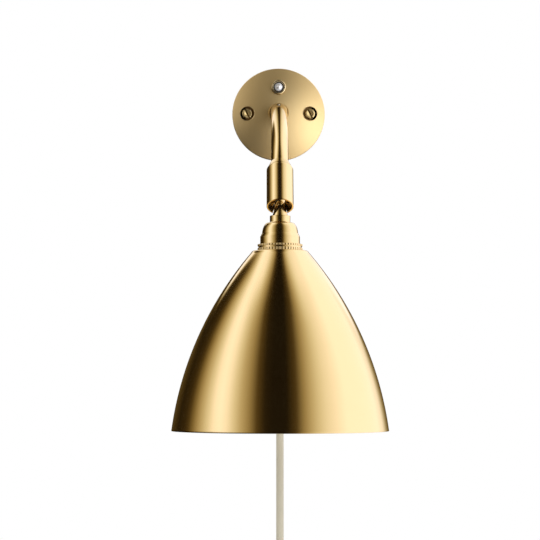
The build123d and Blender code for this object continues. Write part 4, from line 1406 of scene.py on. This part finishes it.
@dataclass
class BellShade:
    """The spun shade and the ring that clamps it from inside."""

    radius: float = 80.0
    top: float = 41.05
    rim: float = 173.75
    wall: float = 1.0
    top_radius: float = 21.4
    top_drop: float = 1.3
    curve: float = 253.0
    hole: float = 14.2
    ring_radius: float = 18.0
    ring_height: float = 3.5
    ring_inner: float = 13.9
    notches: int = 12
    notch_radius: float = 0.9

    def build(self) -> None:
        """Builds the shade and its inner ring."""
        start = (self.top_radius, -self.top - self.top_drop)
        end = (self.radius, -self.rim)
        outer = arc(start, end, self.curve, 96, 1)
        if outer[48][0] < (start[0] + end[0]) / 2:
            outer = arc(start, end, self.curve, 96, -1)
        skin = [start, *outer, end]
        inner = []
        for number, (x, y) in enumerate(skin):
            before, after = skin[max(number - 1, 0)], skin[min(number + 1, len(skin) - 1)]
            way = Vector((after[0] - before[0], after[1] - before[1])).normalized()
            inner.append((x + way.y * self.wall, y - way.x * self.wall))
        inner[-1] = (inner[-1][0], -self.rim)
        outline = [
            (self.hole, -self.top), (self.top_radius - self.top_drop - 0.4, -self.top),
            (self.top_radius - self.top_drop + 0.2, -self.top - 0.1),
            (self.top_radius - 0.25, -self.top - self.top_drop * 0.62), *skin[:-1],
            (self.radius, -self.rim + 0.35), (self.radius - 0.1, -self.rim + 0.08),
            (self.radius - 0.35, -self.rim), (inner[-1][0] + 0.25, -self.rim),
            (inner[-1][0] + 0.03, -self.rim + 0.25), *reversed(inner[1:-2]),
            (inner[0][0] - 1.2, -self.top - self.wall), (self.hole, -self.top - self.wall),
        ]
        shade = mesh_object("bell_shade_spun", turn(outline, HEAD, True, 256), 40.0)
        fitted(shade, SHADE_BRASS, Body.HEAD, "shade_brass", "shade")
        high = -self.top - self.wall - 0.02
        low = high - self.ring_height
        ring = mesh_object("clamp_ring", turn(rounded([
            (self.ring_inner, high), (self.ring_radius, high, 0.3), (self.ring_radius, low, 0.4),
            (self.ring_inner, low),
        ], 4, True), HEAD, True, 144))
        scallops = []
        for number in range(self.notches):
            angle = 2 * math.pi * number / self.notches
            place = Place((HEAD.origin[0] + self.ring_radius * math.cos(angle),
                           HEAD.origin[1] + self.ring_radius * math.sin(angle), HEAD.origin[2]), HEAD.axis)
            scallops.append(rod(self.notch_radius, low - 1.0, high + 1.0, place, 20))
        cut(ring, [merged(scallops)])
        fitted(ring, RAW_BRASS, Body.HEAD, "ring_brass", "shade_ring_lower")


@dataclass
class Holder:
    """The lampholder's threaded skirt and the bulb."""

    radius: float = 13.9
    wall: float = 1.0
    top: float = 31.05
    bottom: float = 66.05
    pitch: float = 2.0
    glass_top: float = 57.85
    glass_bottom: float = 114.85
    neck_radius: float = 6.4
    neck_height: float = 8.0
    neck_join: float = 48.0
    globe: float = 22.5
    base_radius: float = 6.8
    base_top: float = 38.85
    base_pitch: float = 2.82
    thread_top: float = 46.2

    def skirt(self) -> None:
        """Builds the skirt with its rounded lip and thread."""
        inner = self.radius - self.wall
        outline = rounded([
            (inner, -self.top), (self.radius - 0.25, -self.top),
            (self.radius - 0.25, -self.bottom + 2.0, 0.3),
            (self.radius, -self.bottom + 1.6, 0.3), (self.radius, -self.bottom, 0.5),
            (inner - self.wall, -self.bottom, 0.3), (inner - self.wall, -self.bottom + self.wall),
            (inner, -self.bottom + self.wall),
        ], 4, True)
        low = -self.bottom + 3.5
        turns = (-self.thread_top - low) / self.pitch
        thread = Thread("holder_thread", self.radius - 0.3, self.pitch, turns, 0.3).mesh(RAW_BRASS)
        parts = [turn(outline, HEAD, True, 144), placed(thread, HEAD, low)]
        fitted(joined("holder_skirt", parts), RAW_BRASS, Body.HEAD, "raw_brass", "holder_body")

    def bulb(self) -> None:
        """Builds the opal globe and its threaded base."""
        centre = -(self.glass_bottom - self.globe)
        join = math.radians(self.neck_join)
        neck_end = (self.neck_radius, -self.glass_top - self.neck_height)
        meet = (self.globe * math.sin(join), centre + self.globe * math.cos(join))
        flank = catmull([
            neck_end, (neck_end[0] * 0.62 + meet[0] * 0.38, neck_end[1] * 0.6 + meet[1] * 0.4), meet], 8)
        globe = [(self.globe * math.sin(a), centre + self.globe * math.cos(a))
                 for a in (join + (math.pi - join) * n / 40 for n in range(1, 41))]
        globe[-1] = (0.0, -self.glass_bottom)
        outline = [(0.0, -self.glass_top), (self.neck_radius - 0.3, -self.glass_top),
                   (self.neck_radius, -self.glass_top - 0.3), *flank, *globe]
        glass = mesh_object("bulb_globe", turn(outline, HEAD, segments=128), 60.0)
        fitted(glass, OPAL, Body.HEAD, "bulb_glass", "bulb_glass")
        core = self.base_radius - 0.55
        base = turn(rounded([
            (0.0, -self.base_top), (4.4, -self.base_top), (core, -self.base_top - 2.375, 0.4),
            (core, -self.glass_top + 1.8, 0.2), (self.base_radius, -self.glass_top + 1.4, 0.2),
            (self.base_radius, -self.glass_top, 0.1), (0.0, -self.glass_top),
        ], 4), HEAD, segments=96)
        low = -self.glass_top + 3.0
        turns = (-self.base_top - 3.0 - low) / self.base_pitch
        ridge = Thread("bulb_thread", core, self.base_pitch, turns, 0.52).mesh(ALUMINIUM)
        fitted(joined("bulb_screw_base", [base, placed(ridge, HEAD, low)], 50.0), ALUMINIUM, Body.HEAD,
               "bulb_metal", "bulb_base")

    def build(self) -> None:
        """Builds both."""
        self.skirt()
        self.bulb()


@dataclass
class SupplyCord:
    """The braided cord down the wall, its coil and tail, with the bush and the tie."""

    radius: float = 3.0
    x: float = 1.0
    height: float = 3.6
    start_z: float = -28.0
    drop_z: Point = (-60.0, -350.0)
    lead: float = 12.0
    pitch: float = 7.5
    layer: float = 8.0
    inner: float = 24.5
    turns_in: int = 7
    turns_out: int = 6
    centre_z: float = -398.5
    tail: float = 30.0
    length: float = 1.98
    per_half: int = 9
    bush_inner: float = -27.0
    bush_outer: float = -39.5
    bush_wall: float = 1.2
    tie_thickness: float = 0.5
    tie_bend: float = 3.5

    @property
    def outer(self) -> float:
        """The coil's greatest radius."""
        return self.inner + self.turns_in * self.pitch / 2

    @property
    def centre_x(self) -> float:
        """The coil's centre across."""
        return self.x - self.outer

    @property
    def tail_x(self) -> float:
        """Where the tail leaves the coil."""
        return self.centre_x + self.inner + self.turns_out * self.pitch / 2

    def passes(self) -> list[Vector]:
        """Where the coil crosses its own middle, right and left by turns, in millimetres."""
        inward = [self.inner + (self.turns_in - n) * self.pitch / 2 for n in range(self.turns_in + 1)]
        outward = [self.inner + n * self.pitch / 2 for n in range(self.turns_out + 1)]
        made = []
        for number, reach in enumerate(inward + outward):
            side = 1 if number % 2 == 0 else -1
            off = self.height if number <= self.turns_in else self.height + self.layer
            made.append(Vector((self.centre_x + side * reach, -off, self.centre_z)))
        return made

    def route(self) -> list[Vector]:
        """The cord's own points: the straight drop, the coil's turns and the tail."""
        points = [
            Vector((self.x, -self.height, z))
            for z in (self.start_z, *self.drop_z, self.centre_z + self.lead)
        ]
        passes = self.passes()
        step = math.pi / self.per_half
        swell = 1 / math.cos(step / 2)
        for number, (here, there) in enumerate(zip(passes, passes[1:])):
            middle, reach = (here + there) / 2, abs(here.x - there.x) / 2
            side = 1 if number % 2 == 0 else -1
            for n in range(self.per_half):
                angle = (n + 0.5) * step
                share = (n + 0.5) / self.per_half
                points.append(Vector((
                    middle.x + side * reach * swell * math.cos(angle),
                    here.y + (there.y - here.y) * share,
                    self.centre_z - side * reach * swell * math.sin(angle))))
        last = passes[-1]
        points += [last - Vector((0.0, 0.0, drop)) for drop in (self.lead, self.tail)]
        return points

    def cord(self, with_pieces: Sequence[Object]) -> Object:
        """Makes the cord as a tube on its own smooth line.

        Args:
            with_pieces: What is on the cord; not used.

        Returns:
            The cord.
        """
        curve = bpy.data.curves.new("cord_line", "CURVE")
        curve.dimensions = "3D"
        spline = curve.splines.new("NURBS")
        route = self.route()
        spline.points.add(len(route) - 1)
        for point, place in zip(spline.points, route):
            point.co = (*(place * MM), 1.0)
        spline.order_u = 3
        spline.use_endpoint_u = True
        curve.resolution_u = 8
        line = bpy.data.objects.new("cord_line", curve)
        bpy.context.scene.collection.objects.link(line)
        bpy.context.view_layer.update()
        read = bpy.data.meshes.new_from_object(line)
        path = [vertex.co.copy() for vertex in read.vertices]
        bpy.data.objects.remove(line)
        cord = self._tube(path)
        fitted(cord, CORD_YARN, Body.FIXTURE, "cord_textile", "supply_cord", "cord_coil", "cord_tail")
        return cord

    def _tube(self, path: Sequence[Vector]) -> Object:
        """A round tube on a line, with its UV map in metres along and around.

        Args:
            path: The line's points in metres.

        Returns:
            The tube.
        """
        mesh = bmesh.new()
        segments, radius = 20, self.radius * MM
        across = Vector((1.0, 0.0, 0.0))
        rings, run, lengths = [], 0.0, []
        for number, point in enumerate(path):
            before, after = path[max(number - 1, 0)], path[min(number + 1, len(path) - 1)]
            way = (after - before).normalized()
            across = (across - way * across.dot(way)).normalized()
            run += (point - before).length if number else 0.0
            lengths.append(run)
            rings.append([mesh.verts.new(place)
                          for place in circle(point, across, way.cross(across), radius, segments)])
        wrapped(mesh, rings, lengths, 2 * math.pi * radius / segments)
        mesh.faces.new(rings[0])
        mesh.faces.new(rings[-1])
        return mesh_object("supply_cord_braided", mesh, 60.0)

    def bush(self) -> Object:
        """Makes the arched bush in the plate's notch."""
        outer = self.radius + self.bush_wall - 0.02
        piece = mesh_object("cord_bush_moulded", extruded(
            arch(self.x, self.height, outer, 0.0), self.bush_outer, self.bush_inner, METRES))
        bevelled(piece, 0.4, 3, 60.0)
        hole = Place((self.x, -self.height, 0.0), (0.0, 0.0, 1.0))
        cut(piece, [rod(self.radius + 0.05, self.bush_outer - 2.0, self.bush_inner + 2.0, hole, 48)])
        return fitted(piece, RUBBER, Body.FIXTURE, "bush_rubber", "cord_bush")

    def tie(self) -> Object:
        """Makes the flat tie round the top of the coil."""
        low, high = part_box("coil_tie")
        width = (high.x - low.x) / 2
        thick, bend = self.tie_thickness * MM, self.tie_bend * MM
        half_y, half_z = (high.y - low.y) / 2 - thick / 2, (high.z - low.z) / 2 - thick / 2
        middle = (low + high) / 2
        line: list[Vector] = []
        for corner, (sy, sz) in enumerate(((1, 1), (-1, 1), (-1, -1), (1, -1))):
            for n in range(7):
                angle = math.pi / 2 * (corner + n / 6)
                line.append(Vector((0.0, sy * (half_y - bend) + bend * math.cos(angle),
                                    sz * (half_z - bend) + bend * math.sin(angle))))
        mesh = bmesh.new()
        rings, runs, run = [], [], 0.0
        for number, point in enumerate(line):
            before, after = line[number - 1], line[(number + 1) % len(line)]
            way = (after - before).normalized()
            out = Vector((0.0, way.z, -way.y))
            run += (point - before).length if number else 0.0
            runs.append(run)
            rings.append([
                mesh.verts.new(middle + point + Vector((side * width, 0.0, 0.0)) + out * (face * thick / 2))
                for side, face in ((-1, -1), (1, -1), (1, 1), (-1, 1))])
        runs.append(run + (line[0] - line[-1]).length)
        wrapped(mesh, rings + rings[:1], runs, width * 2)
        piece = mesh_object("coil_tie_woven", mesh, 60.0)
        return fitted(piece, TIE_YARN, Body.FIXTURE, "tie_textile", "coil_tie")


@dataclass
class Plug:
    """The flat two-pin plug and its ribbed strain relief."""

    width: float = 35.3
    thickness: float = 13.7
    length: float = 36.0
    shoulder: float = 16.0
    neck: float = 15.0
    top: float = -456.5
    relief_top: float = -428.5
    relief_radius: float = 5.5
    pin_radius: float = 2.0
    pin_length: float = 19.0
    pin_spacing: float = 18.6
    relief_mouth: float = 3.6
    relief_ribs: int = 7
    grips: int = 4
    grip_start: float = 4.0
    grip_pitch: float = 3.2
    grip_depth: float = 0.45
    grip_half: Point = (9.0, 0.5)

    def body(self, x: float, height: float) -> Object:
        """Makes the body with rounded edges and a grip on its shoulders."""
        bottom = self.top - self.length
        step = bottom + self.shoulder
        half, narrow = self.width / 2, self.neck / 2
        outline = [(p[0] + x, p[1]) for p in rounded([
            (-narrow, self.top, 2.0), (narrow, self.top, 2.0), (half, step, 6.0), (half, bottom, 2.5),
            (-half, bottom, 2.5), (-half, step, 6.0),
        ], 8, True)]
        low, high = height - self.thickness / 2, height + self.thickness / 2
        piece = mesh_object("plug_body_moulded", extruded(outline, low, high, FACING), 60.0)
        bevelled(piece, 1.6, 5, 50.0)
        grooves = []
        across, up = self.grip_half
        for number in range(self.grips):
            z = step + self.grip_start + number * self.grip_pitch
            bar = rectangle(x - across, z - up, x + across, z + up)
            grooves += [extruded(bar, side - self.grip_depth, side + self.grip_depth, FACING)
                        for side in (low, high)]
        cut(piece, [merged(grooves)])
        return fitted(piece, PLUG_PLASTIC, Body.FIXTURE, "plug_plastic", "plug_body")

    def relief(self, x: float, height: float) -> Object:
        """Makes the tapered relief with its ribs."""
        place = Place((x, -height, 0.0), (0.0, 0.0, 1.0))
        mouth, widen = self.relief_mouth, self.relief_radius - self.relief_mouth
        corners: list[tuple[float, ...]] = [(3.02, self.relief_top), (mouth, self.relief_top, 0.2)]
        span = (self.top - self.relief_top) / self.relief_ribs
        for number in range(self.relief_ribs):
            z = self.relief_top + span * number
            radius = mouth + widen * (number + 0.5) / self.relief_ribs
            corners += [(radius, z + span * 0.15, 0.25), (radius, z + span * 0.7, 0.25),
                        (radius - 0.55, z + span * 0.78, 0.15), (radius - 0.5, z + span, 0.15)]
        corners += [(self.relief_radius, self.top + 0.1, 0.2), (self.relief_radius, self.top),
                    (3.02, self.top)]
        piece = mesh_object("plug_relief_ribbed", turn(rounded(corners, 3, True), place, True, 64), 60.0)
        return fitted(piece, RUBBER, Body.FIXTURE, "bush_rubber", "plug_relief")

    def pins(self, x: float, height: float) -> Object:
        """Makes the two round pins."""
        bottom = self.top - self.length
        end = bottom - self.pin_length
        place = Place((0.0, -height, 0.0), (0.0, 0.0, 1.0))
        outline = rounded([
            (0.0, bottom + 0.02), (self.pin_radius, bottom + 0.02), (self.pin_radius, end, 1.0), (0.0, end),
        ], 6)
        pin = mesh_object("one_pin", turn(outline, place, segments=48))
        pair = PairRow("pin_pair", 2, self.pin_spacing * MM).mesh(NICKEL, pin)
        bpy.data.objects.remove(pin)
        pair.transform(Matrix.Translation((x * MM, 0.0, 0.0)))
        return fitted(mesh_object("plug_pins_round", pair), NICKEL, Body.FIXTURE, "pin_nickel", "plug_pins")

    def build(self, x: float, height: float) -> list[Object]:
        """Builds the plug at the cord's end."""
        return [self.relief(x, height), self.body(x, height), self.pins(x, height)]


class InnerWorks:
    """The solids that stay as they are, each with its own finish."""

    finishes: dict[Finish, tuple[str, ...]] = {
        STEEL: ("mounting_strap", "arm_grub_screw", "ball_spring"),
        RAW_BRASS: ("arm_socket", "ball_retainer", "stem_nut", "screw_shell", "centre_contact",
                    "holder_terminals", "terminal_screws"),
        BLACK_PLASTIC: ("switch_body",),
        CUP_PLASTIC: ("ball_cup",),
        BLOCK_PLASTIC: ("terminal_block",),
        CERAMIC: ("holder_insert",),
        SOLDER: ("bulb_tip",),
        LEAD_PLASTIC: ("switch_leads", "arm_leads", "supply_leads", "head_leads"),
    }

    def build(self) -> None:
        """Dresses each solid."""
        for finish, nodes in self.finishes.items():
            for name in nodes:
                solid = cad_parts[name]
                solid.data.materials.clear()
                solid.data.materials.append(material_of(finish))
                log.info("%s keeps its solid", name)


# ---------------------------------------------------------------- studio


@dataclass
class Studio:
    """The camera and the soft light round the lamp."""

    camera_place: Triple = (-0.01333, -1.41189, -0.22061)
    pitch: float = 3.823
    yaw: float = 0.26
    lens: float = 116.67
    sensor: float = 36.0
    room_level: float = 0.62
    overhead_share: float = 0.33
    left_low: Point = (-0.2, 0.12)
    left_side: Point = (-0.3, 0.1)
    left_floor: float = 0.03
    strip_high: Point = (0.15, 0.4)
    strip_front: Point = (-0.5, 0.1)
    strip_side: Point = (0.4, 0.62)
    strip_depth: float = 0.25
    card_place: Triple = (0.62, -1.02, -0.1)
    card_size: Point = (0.75, 1.1)
    card_power: float = 5.2
    card_colour: Triple = (0.95, 1.0, 1.12)
    card_aim: Triple = (0.0, -0.01, 0.0)
    lamp_aim: Triple = (0.0, -0.1, -0.2)
    lamp_size: float = 0.8
    lamp_list: tuple[tuple[str, Triple, float], ...] = (
        ("key_right", (1.1, -1.0, 0.5), 14.0), ("fill_left", (-1.2, -0.9, 0.4), 5.0))
    panels: tuple[Point, ...] = (
        (-180, 0.14), (-152, 0.06), (-136, 0.02), (-120, 0.035), (-112, 0.075), (-104, 0.22), (-96, 0.43),
        (-88, 0.64), (-80, 0.88), (-72, 1.18), (-64, 1.3), (-56, 1.12), (-48, 0.83), (-40, 0.56),
        (-32, 0.35), (-24, 0.085), (-16, 0.018), (-8, 0.009), (6, 0.009), (16, 0.07), (24, 0.36),
        (32, 0.6), (40, 0.81), (48, 0.98), (60, 1.15), (72, 1.35), (124, 1.38), (138, 1.04), (146, 0.6),
        (154, 0.26), (164, 0.12), (180, 0.14),
    )
    warmth: tuple[Triple, ...] = (
        (0.0, 0.60, 0.13), (0.1, 0.66, 0.18), (0.2, 0.73, 0.28), (0.3, 0.79, 0.39), (0.45, 0.84, 0.50),
        (0.6, 0.90, 0.65), (0.75, 0.95, 0.79), (0.9, 0.98, 0.92), (1.1, 1.0, 1.08), (1.4, 0.97, 1.14),
    )

    def tinted(self, level: float) -> Triple:
        """The colour of a panel at a level: warm where it is dim, near white where it is bright."""
        for (low, *under), (high, *over) in zip(self.warmth, self.warmth[1:]):
            if level <= high:
                share = (level - low) / (high - low)
                green, blue = (a + (b - a) * share for a, b in zip(under, over))
                return level, level * green, level * blue
        return level, level, level

    def camera(self) -> None:
        """Sets up the camera at the photographed angle."""
        data = bpy.data.cameras.new("camera")
        data.lens, data.sensor_width = self.lens, self.sensor
        camera = bpy.data.objects.new("camera", data)
        camera.location = self.camera_place
        camera.rotation_euler = (math.radians(90.0 + self.pitch), 0.0, math.radians(-self.yaw))
        bpy.context.scene.collection.objects.link(camera)
        bpy.context.scene.camera = camera

    def world(self) -> None:
        """Fills the room with light: white where the camera looks, panels where metal mirrors it."""
        world = bpy.data.worlds.new("studio")
        bpy.context.scene.world = world
        world.use_nodes = True
        world.node_tree.nodes.clear()
        graph = Graph(world.node_tree)
        x, y, z = graph.parts(graph.wire("ShaderNodeTexCoord", output="Generated"))
        level_on = graph.maths("MAXIMUM", z, 0.0) * self.overhead_share - y
        strip = (self._rise(graph, z, *self.strip_high) * self._rise(graph, y, *self.strip_front)
                 * (1.0 - self._rise(graph, graph.maths("ABSOLUTE", x), *self.strip_side)))
        forward = level_on * (1.0 - strip) + strip * self.strip_depth
        azimuth = graph.maths("ARCTAN2", x, forward) / (2 * math.pi) + 0.5
        top = max(max(self.tinted(level)) for _, level in self.panels)
        stops = [(degrees / 360 + 0.5, *(part / top for part in self.tinted(level)))
                 for degrees, level in self.panels]
        ramp = graph.wire("ShaderNodeValToRGB", {"stops": stops}, {"Fac": azimuth})
        rays = graph.node("ShaderNodeLightPath")
        seen = Wire(graph, rays.outputs["Is Camera Ray"])
        mirrored = Wire(graph, rays.outputs["Is Glossy Ray"])
        through = Wire(graph, rays.outputs["Is Transmission Ray"])
        sunk = 1.0 - self._rise(graph, z, *self.left_low)
        leftness = 1.0 - self._rise(graph, x, *self.left_side)
        strength = (1.0 - leftness * sunk * (1.0 - self.left_floor)) * top
        panel = graph.wire("ShaderNodeBackground", inputs={"Color": ramp, "Strength": strength})
        white = graph.wire("ShaderNodeBackground", inputs={"Color": (1.0, 1.0, 1.0, 1.0), "Strength": 1.0})
        room = graph.wire("ShaderNodeBackground", inputs={
            "Color": (1.0, 1.0, 1.0, 1.0), "Strength": self.room_level})
        lit = graph.wire("ShaderNodeMixShader", inputs={0: mirrored, 1: room, 2: panel})
        plain = graph.maths("MAXIMUM", seen, through)
        whole = graph.wire("ShaderNodeMixShader", inputs={0: plain, 1: lit, 2: white})
        graph.node("ShaderNodeOutputWorld", inputs={"Surface": whole})

    @staticmethod
    def _rise(graph: Graph, value: Wire, low: float, high: float) -> Wire:
        """A soft step from 0 at the low value to 1 at the high one."""
        return graph.wire("ShaderNodeMapRange", {"clamp": True, "interpolation_type": "SMOOTHSTEP"}, {
            0: value, 1: low, 2: high, 3: 0.0, 4: 1.0})

    @staticmethod
    def _lamp(
        name: str, place: Triple, aim: Triple, power: float,
    ) -> Object:
        """Adds an area lamp that the camera doesn't see.

        Args:
            name: The lamp's name.
            place: Where it is.
            aim: What it points at.
            power: Its watts.

        Returns:
            The lamp.
        """
        data = bpy.data.lights.new(name, "AREA")
        data.energy = power
        lamp = bpy.data.objects.new(name, data)
        lamp.location, lamp.visible_camera = place, False
        lamp.rotation_euler = (Vector(aim) - Vector(place)).to_track_quat("-Z", "Y").to_euler()
        bpy.context.scene.collection.objects.link(lamp)
        return lamp

    def plate_card(self, names: Sequence[str]) -> None:
        """Adds a lit card on the right that only the plate and what sits in it mirror."""
        card = self._lamp("plate_card", self.card_place, self.card_aim, self.card_power)
        card.data.shape, card.data.color = "RECTANGLE", self.card_colour
        card.data.size, card.data.size_y = self.card_size
        lit = bpy.data.collections.new("lit_by_the_card")
        for name in names:
            lit.objects.link(bpy.data.objects[name])
        card.light_linking.receiver_collection = lit

    def lamps(self) -> None:
        """Adds a soft key on the right and a weaker one on the left."""
        for name, place, power in self.lamp_list:
            lamp = self._lamp(name, place, self.lamp_aim, power)
            lamp.data.size = self.lamp_size
            lamp.visible_glossy = False

    def build(self) -> None:
        """Sets the studio up."""
        self.camera()
        self.world()
        self.lamps()
        bpy.context.scene.view_settings.view_transform = "Standard"


def main() -> None:
    """Builds the studio and the lamp, piece by piece."""
    logging.basicConfig(level=logging.INFO, format="%(message)s")
    studio = Studio()
    studio.build()
    cord = SupplyCord()
    carried = [cord.bush(), cord.tie(), *Plug().build(cord.tail_x, cord.height + cord.layer)]
    cord.cord(carried)
    WallPlate().build()
    FixingScrews().build()
    PushSwitch().build()
    Arm().build()
    BallJoint().build()
    LampholderCap().build()
    BellShade().build()
    Holder().build()
    InnerWorks().build()
    studio.plate_card(("wall_plate_dressed", "plate_screws", "switch_bezel_ring", "push_button"))


if __name__ == "__main__":
    main()
